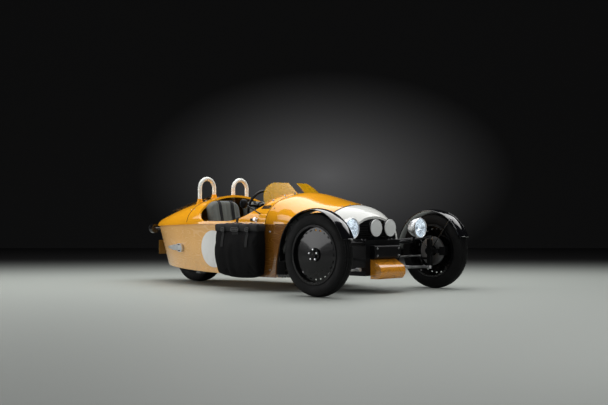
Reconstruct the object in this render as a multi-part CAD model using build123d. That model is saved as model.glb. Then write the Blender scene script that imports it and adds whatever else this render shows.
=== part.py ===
from build123d import *
import os
from math import asin, cos, radians, sin, sqrt

os.makedirs("parts", exist_ok=True)

# Millimetres. The nose points to +X, the left side is +Y, up is +Z. The floor is Z = 0 and the
# origin lies under the middle of the length. "Behind" is a distance aft of the front axle.

# Whole vehicle: the wheelbase, and what stands out past the two axles
WHEELBASE = 2585.0
TAIL_OVERHANG = 604.0
FRONT_TRACK = 1700.0
FRONT_TYRE_R = 371.0
GUARD_R = FRONT_TYRE_R + 34.0
GUARD_BACK = 20.0
GUARD_START = 20.0
FRONT_OVERHANG = max(FRONT_TYRE_R, GUARD_R * cos(radians(GUARD_START)) - GUARD_BACK)
OVERALL_LENGTH = FRONT_OVERHANG + WHEELBASE + TAIL_OVERHANG
FRONT_AXLE_X = OVERALL_LENGTH / 2 - FRONT_OVERHANG
REAR_AXLE_X = FRONT_AXLE_X - WHEELBASE
SIDES = (("left", 1), ("right", -1))
RIGHT = (0, -1, 0)
FAR = 3000.0
RUN_CLEAR = 0.1
FIXED_CLEAR = 1.0

# Lower body tub, its outline drawn at the belt and again at the floor
FLOOR_Z = 130.0
BELT_Z = 636.0
TAIL_BELT_Z = BELT_Z - 30.0
TUB_FRONT = 690.0
TUB_HALF = 575.0
TUB_FRONT_HALF = TUB_HALF - 15.0
TAIL_START = WHEELBASE - 785.0
CAP_START = WHEELBASE + 365.0
CAP_HALF = 0.473 * TUB_HALF
FLOOR_TUCK = 38.0
FLOOR_CAP_START = CAP_START - 125.0
FLOOR_CAP_HALF = CAP_HALF - 57.0
TUB_WALL = 30.0
FLOOR_WALL = 20.0
FLOOR_RISE = 65.0
BULKHEAD_AT = WHEELBASE - 425.0
BULKHEAD_THICK = 50.0
WHEEL_SLOT_CLEAR = 35.0

# Domed upper body in front: rows of (share of the length to the scuttle seam, share of the tub's
# half width, spring height below the belt, crown height above the belt)
SCUTTLE_SEAM = 940.0
SHELL_WALL = 22.0
SHELL_OVERHANG = 14.0
SKIRT_Z = BELT_Z - 206.0
NOSE_LIP = 66.0
NOSE_LIP_Z = BELT_Z - 146.0
FRONT_ROWS = (
    (0.0, 0.6, 136.0, 74.0),
    (0.085, 0.69, 110.0, 131.0),
    (0.222, 0.863, 76.0, 178.0),
    (0.611, 1.005, 16.0, 254.0),
    (1.0, 1.05, 0.0, 302.0),
)
# Amidships, then tail rows of (share of the length to the stern, crown height above the belt);
# their half width follows the tub
MIDDLE_AT = (SCUTTLE_SEAM + TAIL_START) / 2
MIDDLE_CROWN = 314.0
TAIL_ROWS = ((0.0, 309.0), (0.333, 276.0), (0.667, 190.0), (1.0, 90.0))
STERN_ROWS = ((0.55, 62.0), (1.0, 20.0))
STERN_SHY = 22.0
SEAM = 5.0
NOSE_SEAM = 272.0
DECK_SEAM = WHEELBASE - 455.0

# Cockpit opening, seen from the side; heights above the belt
COCKPIT_FRONT = SCUTTLE_SEAM + 135.0
COCKPIT_FRONT_Z = BELT_Z + 182.0
COCKPIT_LOW_Z = BELT_Z + 28.0
COCKPIT_DIP_Z = BELT_Z + 80.0
COCKPIT_LOW_END = DECK_SEAM - 280.0
COCKPIT_LOW_SHARE = 0.564
COCKPIT_DIP_SHARE = 0.393
COCKPIT_REAR_MID = (DECK_SEAM - 204.0, BELT_Z + 72.0)
COCKPIT_REAR = (DECK_SEAM - 170.0, BELT_Z + 154.0)
COCKPIT_TOP_REAR = DECK_SEAM - 108.0

# Front casting, its box nose and the tray under the bonnet
CASTING_FRONT = -30.0
CASTING_FRONT_HALF = 250.0
CASTING_REAR_HALF = 300.0
CASTING_FLOOR = 160.0
CASTING_WALL = 20.0
BOX_NOSE = -95.0
BOX_NOSE_HALF = 185.0
BOX_NOSE_Z = (318.0, 440.0)
BOX_NOSE_ROUND = 24.0
TRAY_THICK = 12.0
TRAY_OPENING = (TUB_FRONT - 410.0, TUB_FRONT - 4.0, 232.0)
ENGINE = (TUB_FRONT - 390.0, TUB_FRONT - 20.0)
ENGINE_HALF = 200.0
ENGINE_Z = (CASTING_FLOOR + CASTING_WALL, BELT_Z + 84.0)

# Grille across the nose opening
GRILLE_AT = NOSE_LIP + 20.0
GRILLE_THICK = 10.0
GRILLE_SLOTS = 7
GRILLE_SLOT = 15.0
GRILLE_BAR = 9.0

# Chin guard, a bent sheet open at both ends
CHIN_AT = -160.0
CHIN_HALF = 178.0
CHIN_TOP_Z = 313.0
CHIN_BROW_Z = 268.0
CHIN_BOTTOM_Z = 132.0
CHIN_BROW = 42.0
CHIN_SHEET = 12.0

# Side blades with the radiators behind them
BLADE_Y = TUB_HALF + 51.0
BLADE_THICK = 14.0
BLADE_Z = (132.0, BELT_Z - 4.0)
BLADE_FRONT = (TUB_FRONT - 90.0, TUB_FRONT + 24.0, TUB_FRONT + 54.0)
BLADE_REAR = TUB_FRONT + 690.0
BLADE_REAR_ROUND = 60.0
BLADE_POST_AT = (TUB_FRONT + 130.0, TUB_FRONT + 600.0)
BLADE_POST_IN = 70.0
BLADE_POST = 36.0
RADIATOR = (TUB_FRONT + 40.0, TUB_FRONT + 85.0)
RADIATOR_Z = (160.0, BELT_Z - 108.0)

# Canvas panniers hung on the blades
PANNIER = (TUB_FRONT + 180.0, TUB_FRONT + 788.0)
PANNIER_DEEP = 130.0
PANNIER_Z = (128.0, BELT_Z - 2.0)
PANNIER_ROUND = 34.0

# Steered front wheels
KINGPIN_Y = FRONT_TRACK / 2 - 85.0
STEM = 40.0
STEM_Z = (FRONT_TYRE_R - 140.0, FRONT_TYRE_R + 115.0)
BOSS_R = 42.0
SPINDLE_R = 22.0
BOSS_FACE = 52.0
SPINDLE_END = 50.0
STUD_R = 9.0
STUD_GRIP = 20.0
BALL_R = 22.0
BALL_HEIGHT = 30.0
BALL_GAP = 5.0
ARM_REACH = 125.0
ARM_Z = (FRONT_TYRE_R - 86.0, FRONT_TYRE_R - 64.0)
ARM_WIDE = 20.0
ARM_BOSS_R = 18.0
# Wishbones: rows of (inner height, front pivot, rear pivot behind the axle, rod radius, pin side)
WISHBONE_ROWS = (
    (222.0, -8.0, 300.0, 11.0, -1),
    (466.0, 52.0, 250.0, 9.0, 1),
)
BUSH_R = 17.0
BUSH_LONG = 46.0
BUSH_Y = 322.0

# Rack and tie rods
TIE_R = 8.0
TIE_GAP = 5.0
TIE_EYE_R = 15.0
TIE_EYE_HIGH = 14.0
RACK_R = 14.0
RACK_TRAVEL = 66.0
RACK_SADDLE = (32.0, 70.0)
TIE_HOLE_R = 14.0

# Tyre section: height of the widest point, and place and drop of the shoulder
BULGE_SHARE = 0.55
SHOULDER_SHARE = 0.41
CROWN_SHARE = 0.035

# Front tyres and disc wheels
FRONT_TYRE_W = 130.0
FRONT_RIM_R = FRONT_TYRE_R - 117.0
FRONT_BEAD = 50.0
WHEEL_FLANGE = 10.0
WHEEL_EDGE = 63.0
WHEEL_LIP = 5.0
BARREL = 10.0
DISC_RIM_Y = 34.0
DISC_HUB_Y = 46.0
DISC_THICK = 12.0
HUB_R = 62.0
HUB_BACK = 20.0
HUB_FACE = 60.0
CAP_R = 31.0
CAP_LONG = 14.0
NUTS = 5
NUT_R = 10.0
NUT_CIRCLE_R = 47.0
NUT_LONG = 14.0
WHEEL_SLOTS = 24
WHEEL_SLOT = (26.0, 11.0)
WHEEL_SLOT_R = FRONT_RIM_R - 38.0

# Front brakes
BRAKE_R = 140.0
BRAKE_BORE = 72.0
BRAKE_THICK = 20.0
BRAKE_BACK = 45.0
BRAKE_BELL_R = 50.0
CALIPER_X = (96.0, 166.0)
CALIPER_HALF = 42.0
CALIPER_CLEAR = 5.0
CALIPER_SHOE = 11.0

# Mudguards on the uprights, their arc struck a little behind and above the axle
GUARD_LIFT = 5.0
GUARD_EDGE_R = GUARD_R - 13.0
GUARD_SHEET = 5.0
GUARD_HALF = 75.0
GUARD_END = 190.0
STAY_R = 4.0
STAY_ANGLES = (50.0, 138.0)

# Rear wheel, tyre and swing arm
REAR_TYRE_R = 317.0
REAR_TYRE_W = 195.0
REAR_RIM_R = REAR_TYRE_R - 127.0
REAR_BEAD = 78.0
REAR_EDGE = 92.0
REAR_HUB_R = 60.0
REAR_HUB_HALF = 95.0
REAR_WEB = 14.0
REAR_AXLE_R = 18.0
SWING_Y = 128.0
SWING_WIDE = 30.0
SWING_HIGH = 70.0
SWING_BOSS_R = 46.0

# Lamps
HEADLAMP_AT = -93.0
HEADLAMP_Y = 500.0
HEADLAMP_Z = NOSE_LIP_Z + 108.0
HEADLAMP_R = 93.0
HEADLAMP_DEEP = 150.0
HEADLAMP_POST_AT = -10.0
HEADLAMP_ARM_Z = NOSE_LIP_Z - 28.0
HEADLAMP_ARM_R = 13.0
SPOT_AT = -35.0
SPOT_Y = 102.0
SPOT_Z = NOSE_LIP_Z + 111.0
SPOT_R = 80.0
SPOT_DEEP = 78.0
SPOT_POST_AT = -5.0
SPOT_POST_R = 10.0
COVER_THICK = 9.0
LENS_THICK = 10.0
LENS_INSET = 8.0
# Where the bend of a lamp bowl lies, as shares of its depth and radius
BOWL_BEND = (0.72, 0.66)
TAIL_LAMP_Y = 182.0
TAIL_LAMP_Z = BELT_Z - 58.0
TAIL_LAMP_R = 50.0
TAIL_LAMP_LONG = 52.0
LAMP_BAR_R = 12.0
LAMP_FOOT = (70.0, 26.0)

# Rear plate and bracket
PLATE_STANDS = 14.0
PLATE_THICK = 4.0
PLATE_HALF = 140.0
PLATE_Z = (292.0, 448.0)
PLATE_BRACKET = (110.0, 60.0)
PLATE_HOLE_R = 3.0
PLATE_HOLE_SPACING = 150.0

# Exhaust outlet on the right rear side
OUTLET = (WHEELBASE + 23.0, WHEELBASE - 342.0)
OUTLET_Z = 384.0
OUTLET_R = (12.0, 46.0)
OUTLET_STANDS = 28.0
OUTLET_SLOT = (150.0, 12.0)
OUTLET_SLOT_OFF = 32.0
OUTLET_SLOT_DEEP = 18.0

# Roll hoops
HOOP_TOP_Z = BELT_Z + 496.0
HOOP_AT = DECK_SEAM + 55.0
HOOP_HALF = 100.0
HOOP_INWARD = 17.0
HOOP_TUBE_R = 21.0

# Luggage rack on the tail deck
RACK_AT = (DECK_SEAM + 160.0, DECK_SEAM + 460.0, DECK_SEAM + 770.0)
RACK_FEET = (0.06, 0.5, 0.94)
RACK_Y = 118.0
RACK_LIFT = 36.0
RACK_RAIL_R = 8.0
RACK_BARS = 4
RACK_FOOT_R = 6.0

# Cockpit furniture; each seat fills the floor between the tunnel and the tub's side
TUNNEL_HALF = 50.0
SEAT_SIDES = (TUNNEL_HALF + 9.0, TUB_HALF - 124.0)
SEAT_Y = (SEAT_SIDES[0] + SEAT_SIDES[1]) / 2
SEAT_HALF = (SEAT_SIDES[1] - SEAT_SIDES[0]) / 2
SEAT_FRONT = DECK_SEAM - 730.0
SEAT_CUSHION_Z = 330.0
SEAT_NOSE_Z = 372.0
SEAT_BACK_FOOT = (DECK_SEAM - 370.0, 330.0)
SEAT_BACK_TOP = (DECK_SEAM - 256.0, BELT_Z + 238.0)
SEAT_BACK_THICK = 96.0
SEAT_ROUND = 38.0
SEAT_GAP = 2.0
TUNNEL_Z = 330.0
TUNNEL_REAR = SEAT_BACK_FOOT[0] - 20.0
DASH_AT = SCUTTLE_SEAM + 96.0
DASH_THICK = 24.0
DASH_Z = BELT_Z + 19.0
WHEEL_CENTRE_AT = SCUTTLE_SEAM + 410.0
WHEEL_CENTRE_Z = BELT_Z + 182.0
WHEEL_RAKE = 22.0
WHEEL_RIM_R = 172.0
WHEEL_GRIP_R = 14.0
WHEEL_SPOKE = (24.0, 6.0)
WHEEL_HUB_R = 34.0
WHEEL_HUB_LONG = 34.0
COLUMN_R = 20.0
COLUMN_PIN_R = 9.0
PEDAL_SPREAD = (115.0, 20.0, -75.0)
PEDAL = (12.0, 52.0, 82.0)
PEDAL_AT = TUB_FRONT + 215.0
PEDAL_Z = 300.0
PEDAL_STEM_R = 7.0
LEVER_AT = SEAT_FRONT - 70.0
LEVER_R = 7.0
LEVER_HIGH = 150.0
LEVER_KNOB_R = 22.0

# Screens: rows of (distance aft of the inner end, share of the width) where a screen meets the
# height of the crown, then its outer corner as (share of the width, drop below the top)
SCREEN_AT = SCUTTLE_SEAM + 75.0
SCREEN_SIDES = (TUNNEL_HALF + 7.0, TUB_HALF - 108.0)
SCREEN_ROWS = ((0.0, 0.0), (45.0, 0.52), (175.0, 1.0))
SCREEN_CORNER = ((0.42, 0.0), (0.77, 74.0), (1.0, 228.0))
SCREEN_THICK = 6.0
SCREEN_TOP_Z = BELT_Z + 412.0
SCREEN_LEAN = 1.18

# Mirrors
MIRROR_FOOT = (SCUTTLE_SEAM + 92.0, TUB_HALF - 30.0, BELT_Z + 90.0)
MIRROR_HEAD = (SCUTTLE_SEAM + 212.0, TUB_HALF + 93.0, BELT_Z + 196.0)
MIRROR_R = 42.0
MIRROR_THICK = 24.0
MIRROR_STALK_R = 7.0

# Jacking pads under the floor
JACK_PADS = (TUB_FRONT + 170.0, BULKHEAD_AT - 100.0)
JACK_PAD_Y = TUB_HALF - 145.0
JACK_PAD = 70.0
JACK_PAD_THICK = 8.0


def at(behind):
    return FRONT_AXLE_X - behind


def across(x):
    """Plane across the car at X, drawn in Y and Z."""
    return Plane(origin=(x, 0, 0), x_dir=(0, 1, 0), z_dir=(1, 0, 0))


def along(y):
    """Plane along the car at Y, drawn in X and Z; its normal points to the right."""
    return Plane(origin=(0, y, 0), x_dir=(1, 0, 0), z_dir=(0, -1, 0))


def block(x, y, z):
    """Box between pairs of limits."""
    middle = [(pair[0] + pair[1]) / 2 for pair in (x, y, z)]
    size = [abs(pair[1] - pair[0]) for pair in (x, y, z)]
    return Pos(*middle) * Box(*size)


def slab(front, rear):
    """Everything between two stations behind the front axle."""
    return block((at(rear), at(front)), (-FAR, FAR), (-FAR, FAR))


def rod(start, end, radius):
    start, end = Vector(*start), Vector(*end)
    base = Plane(origin=start, z_dir=end - start)
    return extrude(base * Circle(radius), (end - start).length)


def pin_y(x, y, z, radius):
    """Cylinder along Y between two limits."""
    return rod((x, y[0], z), (x, y[1], z), radius)


def pin_z(x, y, z, radius):
    return rod((x, y, z[0]), (x, y, z[1]), radius)


def pin_x(x, y, z, radius):
    return rod((x[0], y, z), (x[1], y, z), radius)


def outline(plane, *edges):
    return make_face(plane * (Curve() + list(edges)))


def prism_y(points, y):
    """Polygon in X and Z, carried from one Y to another."""
    face = outline(along(max(y)), Polyline(*points, close=True))
    return extrude(face, max(y) - min(y), dir=RIGHT)


def both_sides(make):
    return [make(side) for _, side in SIDES]


def cap_circle(half, cap_start, cap_half):
    """Radius and slope of the long tail arc, then radius and centre of the round stern."""
    run = cap_start - TAIL_START
    drop = half - cap_half
    radius = (run * run + drop * drop) / (2 * drop)
    slope = asin(run / radius)
    stern = cap_half / cos(slope)
    return radius, slope, stern, cap_start - stern * sin(slope)


def tub_outline(z, front, front_half, half, cap_start, cap_half):
    """Boat shaped plan: straight flanks, a long arc and a round stern."""
    radius, slope, stern, centre = cap_circle(half, cap_start, cap_half)
    bow = TAIL_START + radius * sin(slope / 2)
    bow_half = half - radius * (1 - cos(slope / 2))
    return outline(
        Plane.XY.offset(z),
        Line((at(front), front_half), (at(TAIL_START), half)),
        ThreePointArc((at(TAIL_START), half), (at(bow), bow_half), (at(cap_start), cap_half)),
        ThreePointArc((at(cap_start), cap_half), (at(centre + stern), 0), (at(cap_start), -cap_half)),
        ThreePointArc((at(cap_start), -cap_half), (at(bow), -bow_half), (at(TAIL_START), -half)),
        Line((at(TAIL_START), -half), (at(front), -front_half)),
        Line((at(front), -front_half), (at(front), front_half)),
    )


def tub_form(low, inset):
    """Solid between the floor outline and the belt outline, drawn in by an inset."""
    tuck = FLOOR_TUCK + inset
    floor_plan = tub_outline(low, TUB_FRONT + inset, TUB_FRONT_HALF - tuck, TUB_HALF - tuck,
                             FLOOR_CAP_START, FLOOR_CAP_HALF - inset)
    belt_plan = tub_outline(BELT_Z, TUB_FRONT + inset, TUB_FRONT_HALF - inset, TUB_HALF - inset,
                            CAP_START, CAP_HALF - inset)
    return loft([floor_plan, belt_plan], ruled=True)


def tub_half_at(behind):
    """Half width of the belt outline at a station."""
    radius, _, stern, centre = cap_circle(TUB_HALF, CAP_START, CAP_HALF)
    if behind <= TAIL_START:
        grow = (behind - TUB_FRONT) / (TAIL_START - TUB_FRONT)
        return TUB_FRONT_HALF + grow * (TUB_HALF - TUB_FRONT_HALF)
    if behind <= CAP_START:
        return TUB_HALF - radius + sqrt(radius ** 2 - (behind - TAIL_START) ** 2)
    return sqrt(max(stern ** 2 - (behind - centre) ** 2, 0))


def stern_tip():
    """Station of the rearmost point of the belt outline."""
    _, _, stern, centre = cap_circle(TUB_HALF, CAP_START, CAP_HALF)
    return centre + stern


def tail_end():
    """Station where the tail deck ends, just short of the stern."""
    return stern_tip() - STERN_SHY


def belt_at(behind):
    """Height of the belt line: flat amidships, falling to the tail."""
    tail = (behind - TAIL_START) / (tail_end() - TAIL_START)
    return BELT_Z - max(tail, 0) * (BELT_Z - TAIL_BELT_Z)


def floor_at(behind):
    """Height of the underside: flat in front, rising from the seats to the stern."""
    return FLOOR_Z + FLOOR_RISE * max(behind - SEAT_FRONT, 0) / (stern_tip() - SEAT_FRONT)


def below_floor(lift):
    """Everything under the rising part of the floor, raised by a lift."""
    end = stern_tip()
    return prism_y([(at(SEAT_FRONT), 0), (at(SEAT_FRONT), FLOOR_Z + lift), (at(end), floor_at(end) + lift),
                    (at(end), 0)], (-FAR, FAR))


def dome_section(behind, half, spring, crown, inset):
    """Half ellipse on straight skirts."""
    half, rise = half - inset, crown - spring - inset
    return outline(
        across(at(behind)),
        Line((half, SKIRT_Z), (half, spring)),
        EllipticalCenterArc((0, spring), half, rise, start_angle=0, arc_size=180),
        Line((-half, spring), (-half, SKIRT_Z)),
        Line((-half, SKIRT_Z), (half, SKIRT_Z)),
    )


def front_rows():
    """Sections of the nose and bonnet: (behind, half width, spring height, crown height)."""
    long = SCUTTLE_SEAM - NOSE_LIP
    return [(NOSE_LIP + share * long, wide * TUB_FRONT_HALF, BELT_Z - drop, BELT_Z + rise)
            for share, wide, drop, rise in FRONT_ROWS]


def hull_row(behind, rise):
    """One section amidships or in the tail, as wide as the tub and its overhang."""
    return (behind, tub_half_at(behind) + SHELL_OVERHANG, belt_at(behind), BELT_Z + rise)


def tail_rows(end):
    """Sections of the long tail, then those of the round stern up to an end."""
    tail = [hull_row(TAIL_START + share * (CAP_START - TAIL_START), rise) for share, rise in TAIL_ROWS]
    stern = [hull_row(CAP_START + share * (end - CAP_START), rise) for share, rise in STERN_ROWS]
    return tail, [tail[-1]] + stern


def dome_form(rows, inset):
    return loft([dome_section(*row, inset) for row in rows])


def tail_form(end, inset):
    tail, stern = tail_rows(end)
    return dome_form(tail, inset) + dome_form(stern, inset)


def below_belt():
    """Everything under the belt line, from the nose lip to the tail."""
    tail = tail_end()
    end = tail + FIXED_CLEAR
    return prism_y([(at(CASTING_FRONT), 0), (at(CASTING_FRONT), NOSE_LIP_Z), (at(NOSE_LIP), NOSE_LIP_Z),
                    (at(TUB_FRONT), BELT_Z), (at(TAIL_START), BELT_Z), (at(tail), TAIL_BELT_Z),
                    (at(end), TAIL_BELT_Z), (at(end), 0)], (-FAR, FAR))


def cockpit_cut():
    front, rear = at(COCKPIT_FRONT), at(COCKPIT_TOP_REAR)
    low_at = COCKPIT_FRONT + COCKPIT_LOW_SHARE * (COCKPIT_LOW_END - COCKPIT_FRONT)
    dip_at = COCKPIT_FRONT + COCKPIT_DIP_SHARE * (low_at - COCKPIT_FRONT)
    low = (at(low_at), COCKPIT_LOW_Z)
    low_end = (at(COCKPIT_LOW_END), COCKPIT_LOW_Z)
    back = (at(COCKPIT_REAR[0]), COCKPIT_REAR[1])
    top = HOOP_TOP_Z
    face = outline(
        along(FAR),
        Line((front, top), (front, COCKPIT_FRONT_Z)),
        ThreePointArc((front, COCKPIT_FRONT_Z), (at(dip_at), COCKPIT_DIP_Z), low),
        Line(low, low_end),
        ThreePointArc(low_end, (at(COCKPIT_REAR_MID[0]), COCKPIT_REAR_MID[1]), back),
        Line(back, (rear, top)),
        Line((rear, top), (front, top)),
    )
    return extrude(face, 2 * FAR, dir=RIGHT)


# The hull: one tub and one dome, cut into panels where the real panels meet
FRONT_DOME_ROWS = front_rows()
MIDDLE_DOME_ROWS = [FRONT_DOME_ROWS[-1], hull_row(MIDDLE_AT, MIDDLE_CROWN),
                    hull_row(TAIL_START, TAIL_ROWS[0][1])]
UNDER = below_belt()
UNDER_FLOOR = below_floor(FLOOR_WALL)
TUB_SOLID = (tub_form(FLOOR_Z, 0) & UNDER) - below_floor(0)
FRONT_HOLLOW = dome_form(FRONT_DOME_ROWS, SHELL_WALL) - UNDER
FRONT_DOME = dome_form(FRONT_DOME_ROWS, 0) - UNDER
FRONT_SHELL = FRONT_DOME - FRONT_HOLLOW
MIDDLE_DOME = dome_form(MIDDLE_DOME_ROWS, 0) - UNDER
MIDDLE_HOLLOW = dome_form(MIDDLE_DOME_ROWS, SHELL_WALL) - UNDER
TAIL_DOME = tail_form(tail_end(), 0) - UNDER
TAIL_SHELL = TAIL_DOME - (tail_form(tail_end() - SHELL_WALL, SHELL_WALL) - UNDER)


def body_tub():
    hollow = tub_form(FLOOR_Z + FLOOR_WALL, TUB_WALL) - UNDER_FLOOR
    cockpit = hollow & slab(TUB_FRONT, BULKHEAD_AT)
    bay = hollow & slab(BULKHEAD_AT + BULKHEAD_THICK, WHEELBASE + FAR)
    half = REAR_TYRE_W / 2 + WHEEL_SLOT_CLEAR
    slot = pin_y(REAR_AXLE_X, (-half, half), REAR_TYRE_R, REAR_TYRE_R + WHEEL_SLOT_CLEAR)
    pads = []
    for behind in JACK_PADS:
        x = at(behind)
        top = floor_at(behind) + FLOOR_WALL / 2
        for _, side in SIDES:
            y = side * JACK_PAD_Y
            pads.append(block((x - JACK_PAD / 2, x + JACK_PAD / 2), (y - JACK_PAD / 2, y + JACK_PAD / 2),
                              (FLOOR_Z - JACK_PAD_THICK, top)))
    return TUB_SOLID - cockpit - bay - slot + pads


def nose_cone():
    return FRONT_SHELL & slab(0, NOSE_SEAM - SEAM / 2)


def bonnet():
    return FRONT_SHELL & slab(NOSE_SEAM + SEAM / 2, SCUTTLE_SEAM - SEAM / 2)


def cockpit_surround():
    front = (MIDDLE_DOME - MIDDLE_HOLLOW) & slab(SCUTTLE_SEAM + SEAM / 2, TAIL_START)
    rear = TAIL_SHELL & slab(TAIL_START, DECK_SEAM - SEAM / 2)
    return (front + rear) - cockpit_cut()


def hoop_y():
    """Middle of a hoop, a little inside the middle of its seat."""
    return SEAT_Y - HOOP_INWARD


def hoop_legs(radius, low):
    legs = []
    for _, side in SIDES:
        for offset_y in (-HOOP_HALF, HOOP_HALF):
            y = side * hoop_y() + offset_y
            legs.append(pin_z(at(HOOP_AT), y, (low, HOOP_TOP_Z - HOOP_TUBE_R - HOOP_HALF), radius))
    return legs


def tail_deck():
    deck = TAIL_SHELL & slab(DECK_SEAM + SEAM / 2, WHEELBASE + FAR)
    return deck - hoop_legs(HOOP_TUBE_R + FIXED_CLEAR, BELT_Z)


def roll_hoops():
    spring = HOOP_TOP_Z - HOOP_TUBE_R - HOOP_HALF
    hoops = []
    for _, side in SIDES:
        base = Plane(origin=(at(HOOP_AT), side * hoop_y(), spring), z_dir=(1, 0, 0))
        ring = base * Torus(HOOP_HALF, HOOP_TUBE_R)
        hoops.append(ring & block((-FAR, FAR), (-FAR, FAR), (spring, HOOP_TOP_Z)))
    return Part() + hoops + hoop_legs(HOOP_TUBE_R, belt_at(HOOP_AT) - BULKHEAD_THICK) - TUB_SOLID


def casting_block():
    """Outer form of the front casting, up to the belt line."""
    plan = outline(Plane.XY.offset(CASTING_FLOOR), Polyline(
        (at(CASTING_FRONT), CASTING_FRONT_HALF), (at(TUB_FRONT), CASTING_REAR_HALF),
        (at(TUB_FRONT), -CASTING_REAR_HALF), (at(CASTING_FRONT), -CASTING_FRONT_HALF), close=True))
    return extrude(plan, FAR) & UNDER


def front_casting():
    inner = outline(Plane.XY.offset(CASTING_FLOOR + CASTING_WALL), Polyline(
        (at(CASTING_FRONT + CASTING_WALL), CASTING_FRONT_HALF - CASTING_WALL),
        (at(TUB_FRONT), CASTING_REAR_HALF - CASTING_WALL),
        (at(TUB_FRONT), CASTING_WALL - CASTING_REAR_HALF),
        (at(CASTING_FRONT + CASTING_WALL), CASTING_WALL - CASTING_FRONT_HALF), close=True))
    walls = casting_block() - extrude(inner, FAR)
    lid = block((at(NOSE_LIP), at(CASTING_FRONT)), (-CASTING_FRONT_HALF, CASTING_FRONT_HALF),
                (NOSE_LIP_Z - CASTING_WALL, NOSE_LIP_Z))
    nose = block((at(CASTING_FRONT), at(BOX_NOSE)), (-BOX_NOSE_HALF, BOX_NOSE_HALF), BOX_NOSE_Z)
    nose = fillet(nose.edges().filter_by(Axis.Y).group_by(Axis.X)[-1], BOX_NOSE_ROUND)
    lugs = []
    for z, front, rear, _, _ in WISHBONE_ROWS:
        for behind in (front, rear):
            for _, side in SIDES:
                x = at(behind)
                lug = block((x - BUSH_LONG / 2, x + BUSH_LONG / 2),
                            (side * casting_half(behind + BUSH_LONG / 2), side * BUSH_Y),
                            (z - BUSH_R, z + BUSH_R))
                lugs.append(lug - pin_x((x - BUSH_LONG, x + BUSH_LONG), side * BUSH_Y, z, BUSH_R))
    holes = pin_y(at(ARM_REACH), (-FAR, FAR), tie_z(), TIE_HOLE_R)
    x = at(ARM_REACH)
    saddle = block((x - RACK_SADDLE[0], x + RACK_SADDLE[0]), (-RACK_SADDLE[1], RACK_SADDLE[1]),
                   (CASTING_FLOOR + CASTING_WALL, tie_z() + 2 * RACK_R))
    saddle -= pin_y(x, (-FAR, FAR), tie_z(), RACK_R + RUN_CLEAR)
    return walls + lid + nose + lugs - holes + saddle


def casting_half(behind):
    """Half width of the casting at a station, less half its wall."""
    grow = (behind - CASTING_FRONT) / (TUB_FRONT - CASTING_FRONT)
    return CASTING_FRONT_HALF + grow * (CASTING_REAR_HALF - CASTING_FRONT_HALF) - CASTING_WALL / 2


def bonnet_tray():
    """Sloping shelf that closes the underside of the bonnet round the engine."""
    lift = Pos(0, 0, TRAY_THICK) * UNDER
    front, rear, half = TRAY_OPENING
    hole = block((at(rear), at(front)), (-half, half), (0, FAR))
    return (FRONT_HOLLOW & lift & slab(GRILLE_AT + GRILLE_THICK, TUB_FRONT)) - hole


def engine_block():
    return block((at(ENGINE[1]), at(ENGINE[0])), (-ENGINE_HALF, ENGINE_HALF), ENGINE_Z)


def grille():
    plate = FRONT_HOLLOW & slab(GRILLE_AT, GRILLE_AT + GRILLE_THICK)
    pitch = GRILLE_SLOT + GRILLE_BAR
    widest = FRONT_DOME_ROWS[0][1] - SHELL_WALL - 2 * GRILLE_BAR
    slots = []
    for row in range(GRILLE_SLOTS):
        low = NOSE_LIP_Z + GRILLE_BAR + row * pitch
        spread = widest * sqrt(1 - ((row + 1) / (GRILLE_SLOTS + 2)) ** 2)
        for _, side in SIDES:
            slots.append(block((at(GRILLE_AT + GRILLE_THICK), at(GRILLE_AT)),
                               (side * GRILLE_BAR, side * spread), (low, low + GRILLE_SLOT)))
    return plate - slots


def chin_guard():
    back, front = at(CASTING_FRONT), at(CHIN_AT)
    brow = front - CHIN_BROW
    middle_z = (CHIN_BROW_Z + CHIN_BOTTOM_Z) / 2

    def chin(inset):
        top, low = CHIN_TOP_Z - inset, CHIN_BOTTOM_Z + inset
        return extrude(outline(
            along(CHIN_HALF),
            Line((back, low), (back, top)),
            Line((back, top), (brow, CHIN_BROW_Z - inset)),
            ThreePointArc((brow, CHIN_BROW_Z - inset), (front - inset, middle_z), (brow, low)),
            Line((brow, low), (back, low)),
        ), 2 * CHIN_HALF, dir=RIGHT)

    return chin(0) - chin(CHIN_SHEET)


def side_blades():
    low, high = BLADE_Z
    top_x, middle_x, low_x = map(at, BLADE_FRONT)
    rear_x = at(BLADE_REAR)
    middle_z = (low + high) / 2

    def blade(side):
        y = side * BLADE_Y
        face = outline(
            along(max(y, y + side * BLADE_THICK)),
            ThreePointArc((top_x, high), (middle_x, middle_z), (low_x, low)),
            Line((low_x, low), (rear_x + BLADE_REAR_ROUND, low)),
            RadiusArc((rear_x + BLADE_REAR_ROUND, low), (rear_x, low + BLADE_REAR_ROUND),
                      BLADE_REAR_ROUND),
            Line((rear_x, low + BLADE_REAR_ROUND), (rear_x, high)),
            Line((rear_x, high), (top_x, high)),
        )
        posts = []
        for x in map(at, BLADE_POST_AT):
            for z in (low + BLADE_POST_IN, high - BLADE_POST_IN):
                posts.append(block((x - BLADE_POST / 2, x + BLADE_POST / 2), (side * TUB_FRONT_HALF / 2, y),
                                   (z - BLADE_POST / 2, z + BLADE_POST / 2)) - TUB_SOLID)
        return extrude(face, BLADE_THICK, dir=RIGHT) + posts

    return both_sides(blade)


def radiators():
    def radiator(side):
        core = block((at(RADIATOR[1]), at(RADIATOR[0])), (side * TUB_FRONT_HALF / 2, side * BLADE_Y),
                     RADIATOR_Z)
        return core - TUB_SOLID

    return both_sides(radiator)


def pannier(side):
    y = side * (BLADE_Y + BLADE_THICK)
    bag = block((at(PANNIER[1]), at(PANNIER[0])), (y, y + side * PANNIER_DEEP), PANNIER_Z)
    return fillet(bag.edges().filter_by(Axis.Z) + bag.edges().filter_by(Axis.X), PANNIER_ROUND)


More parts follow.
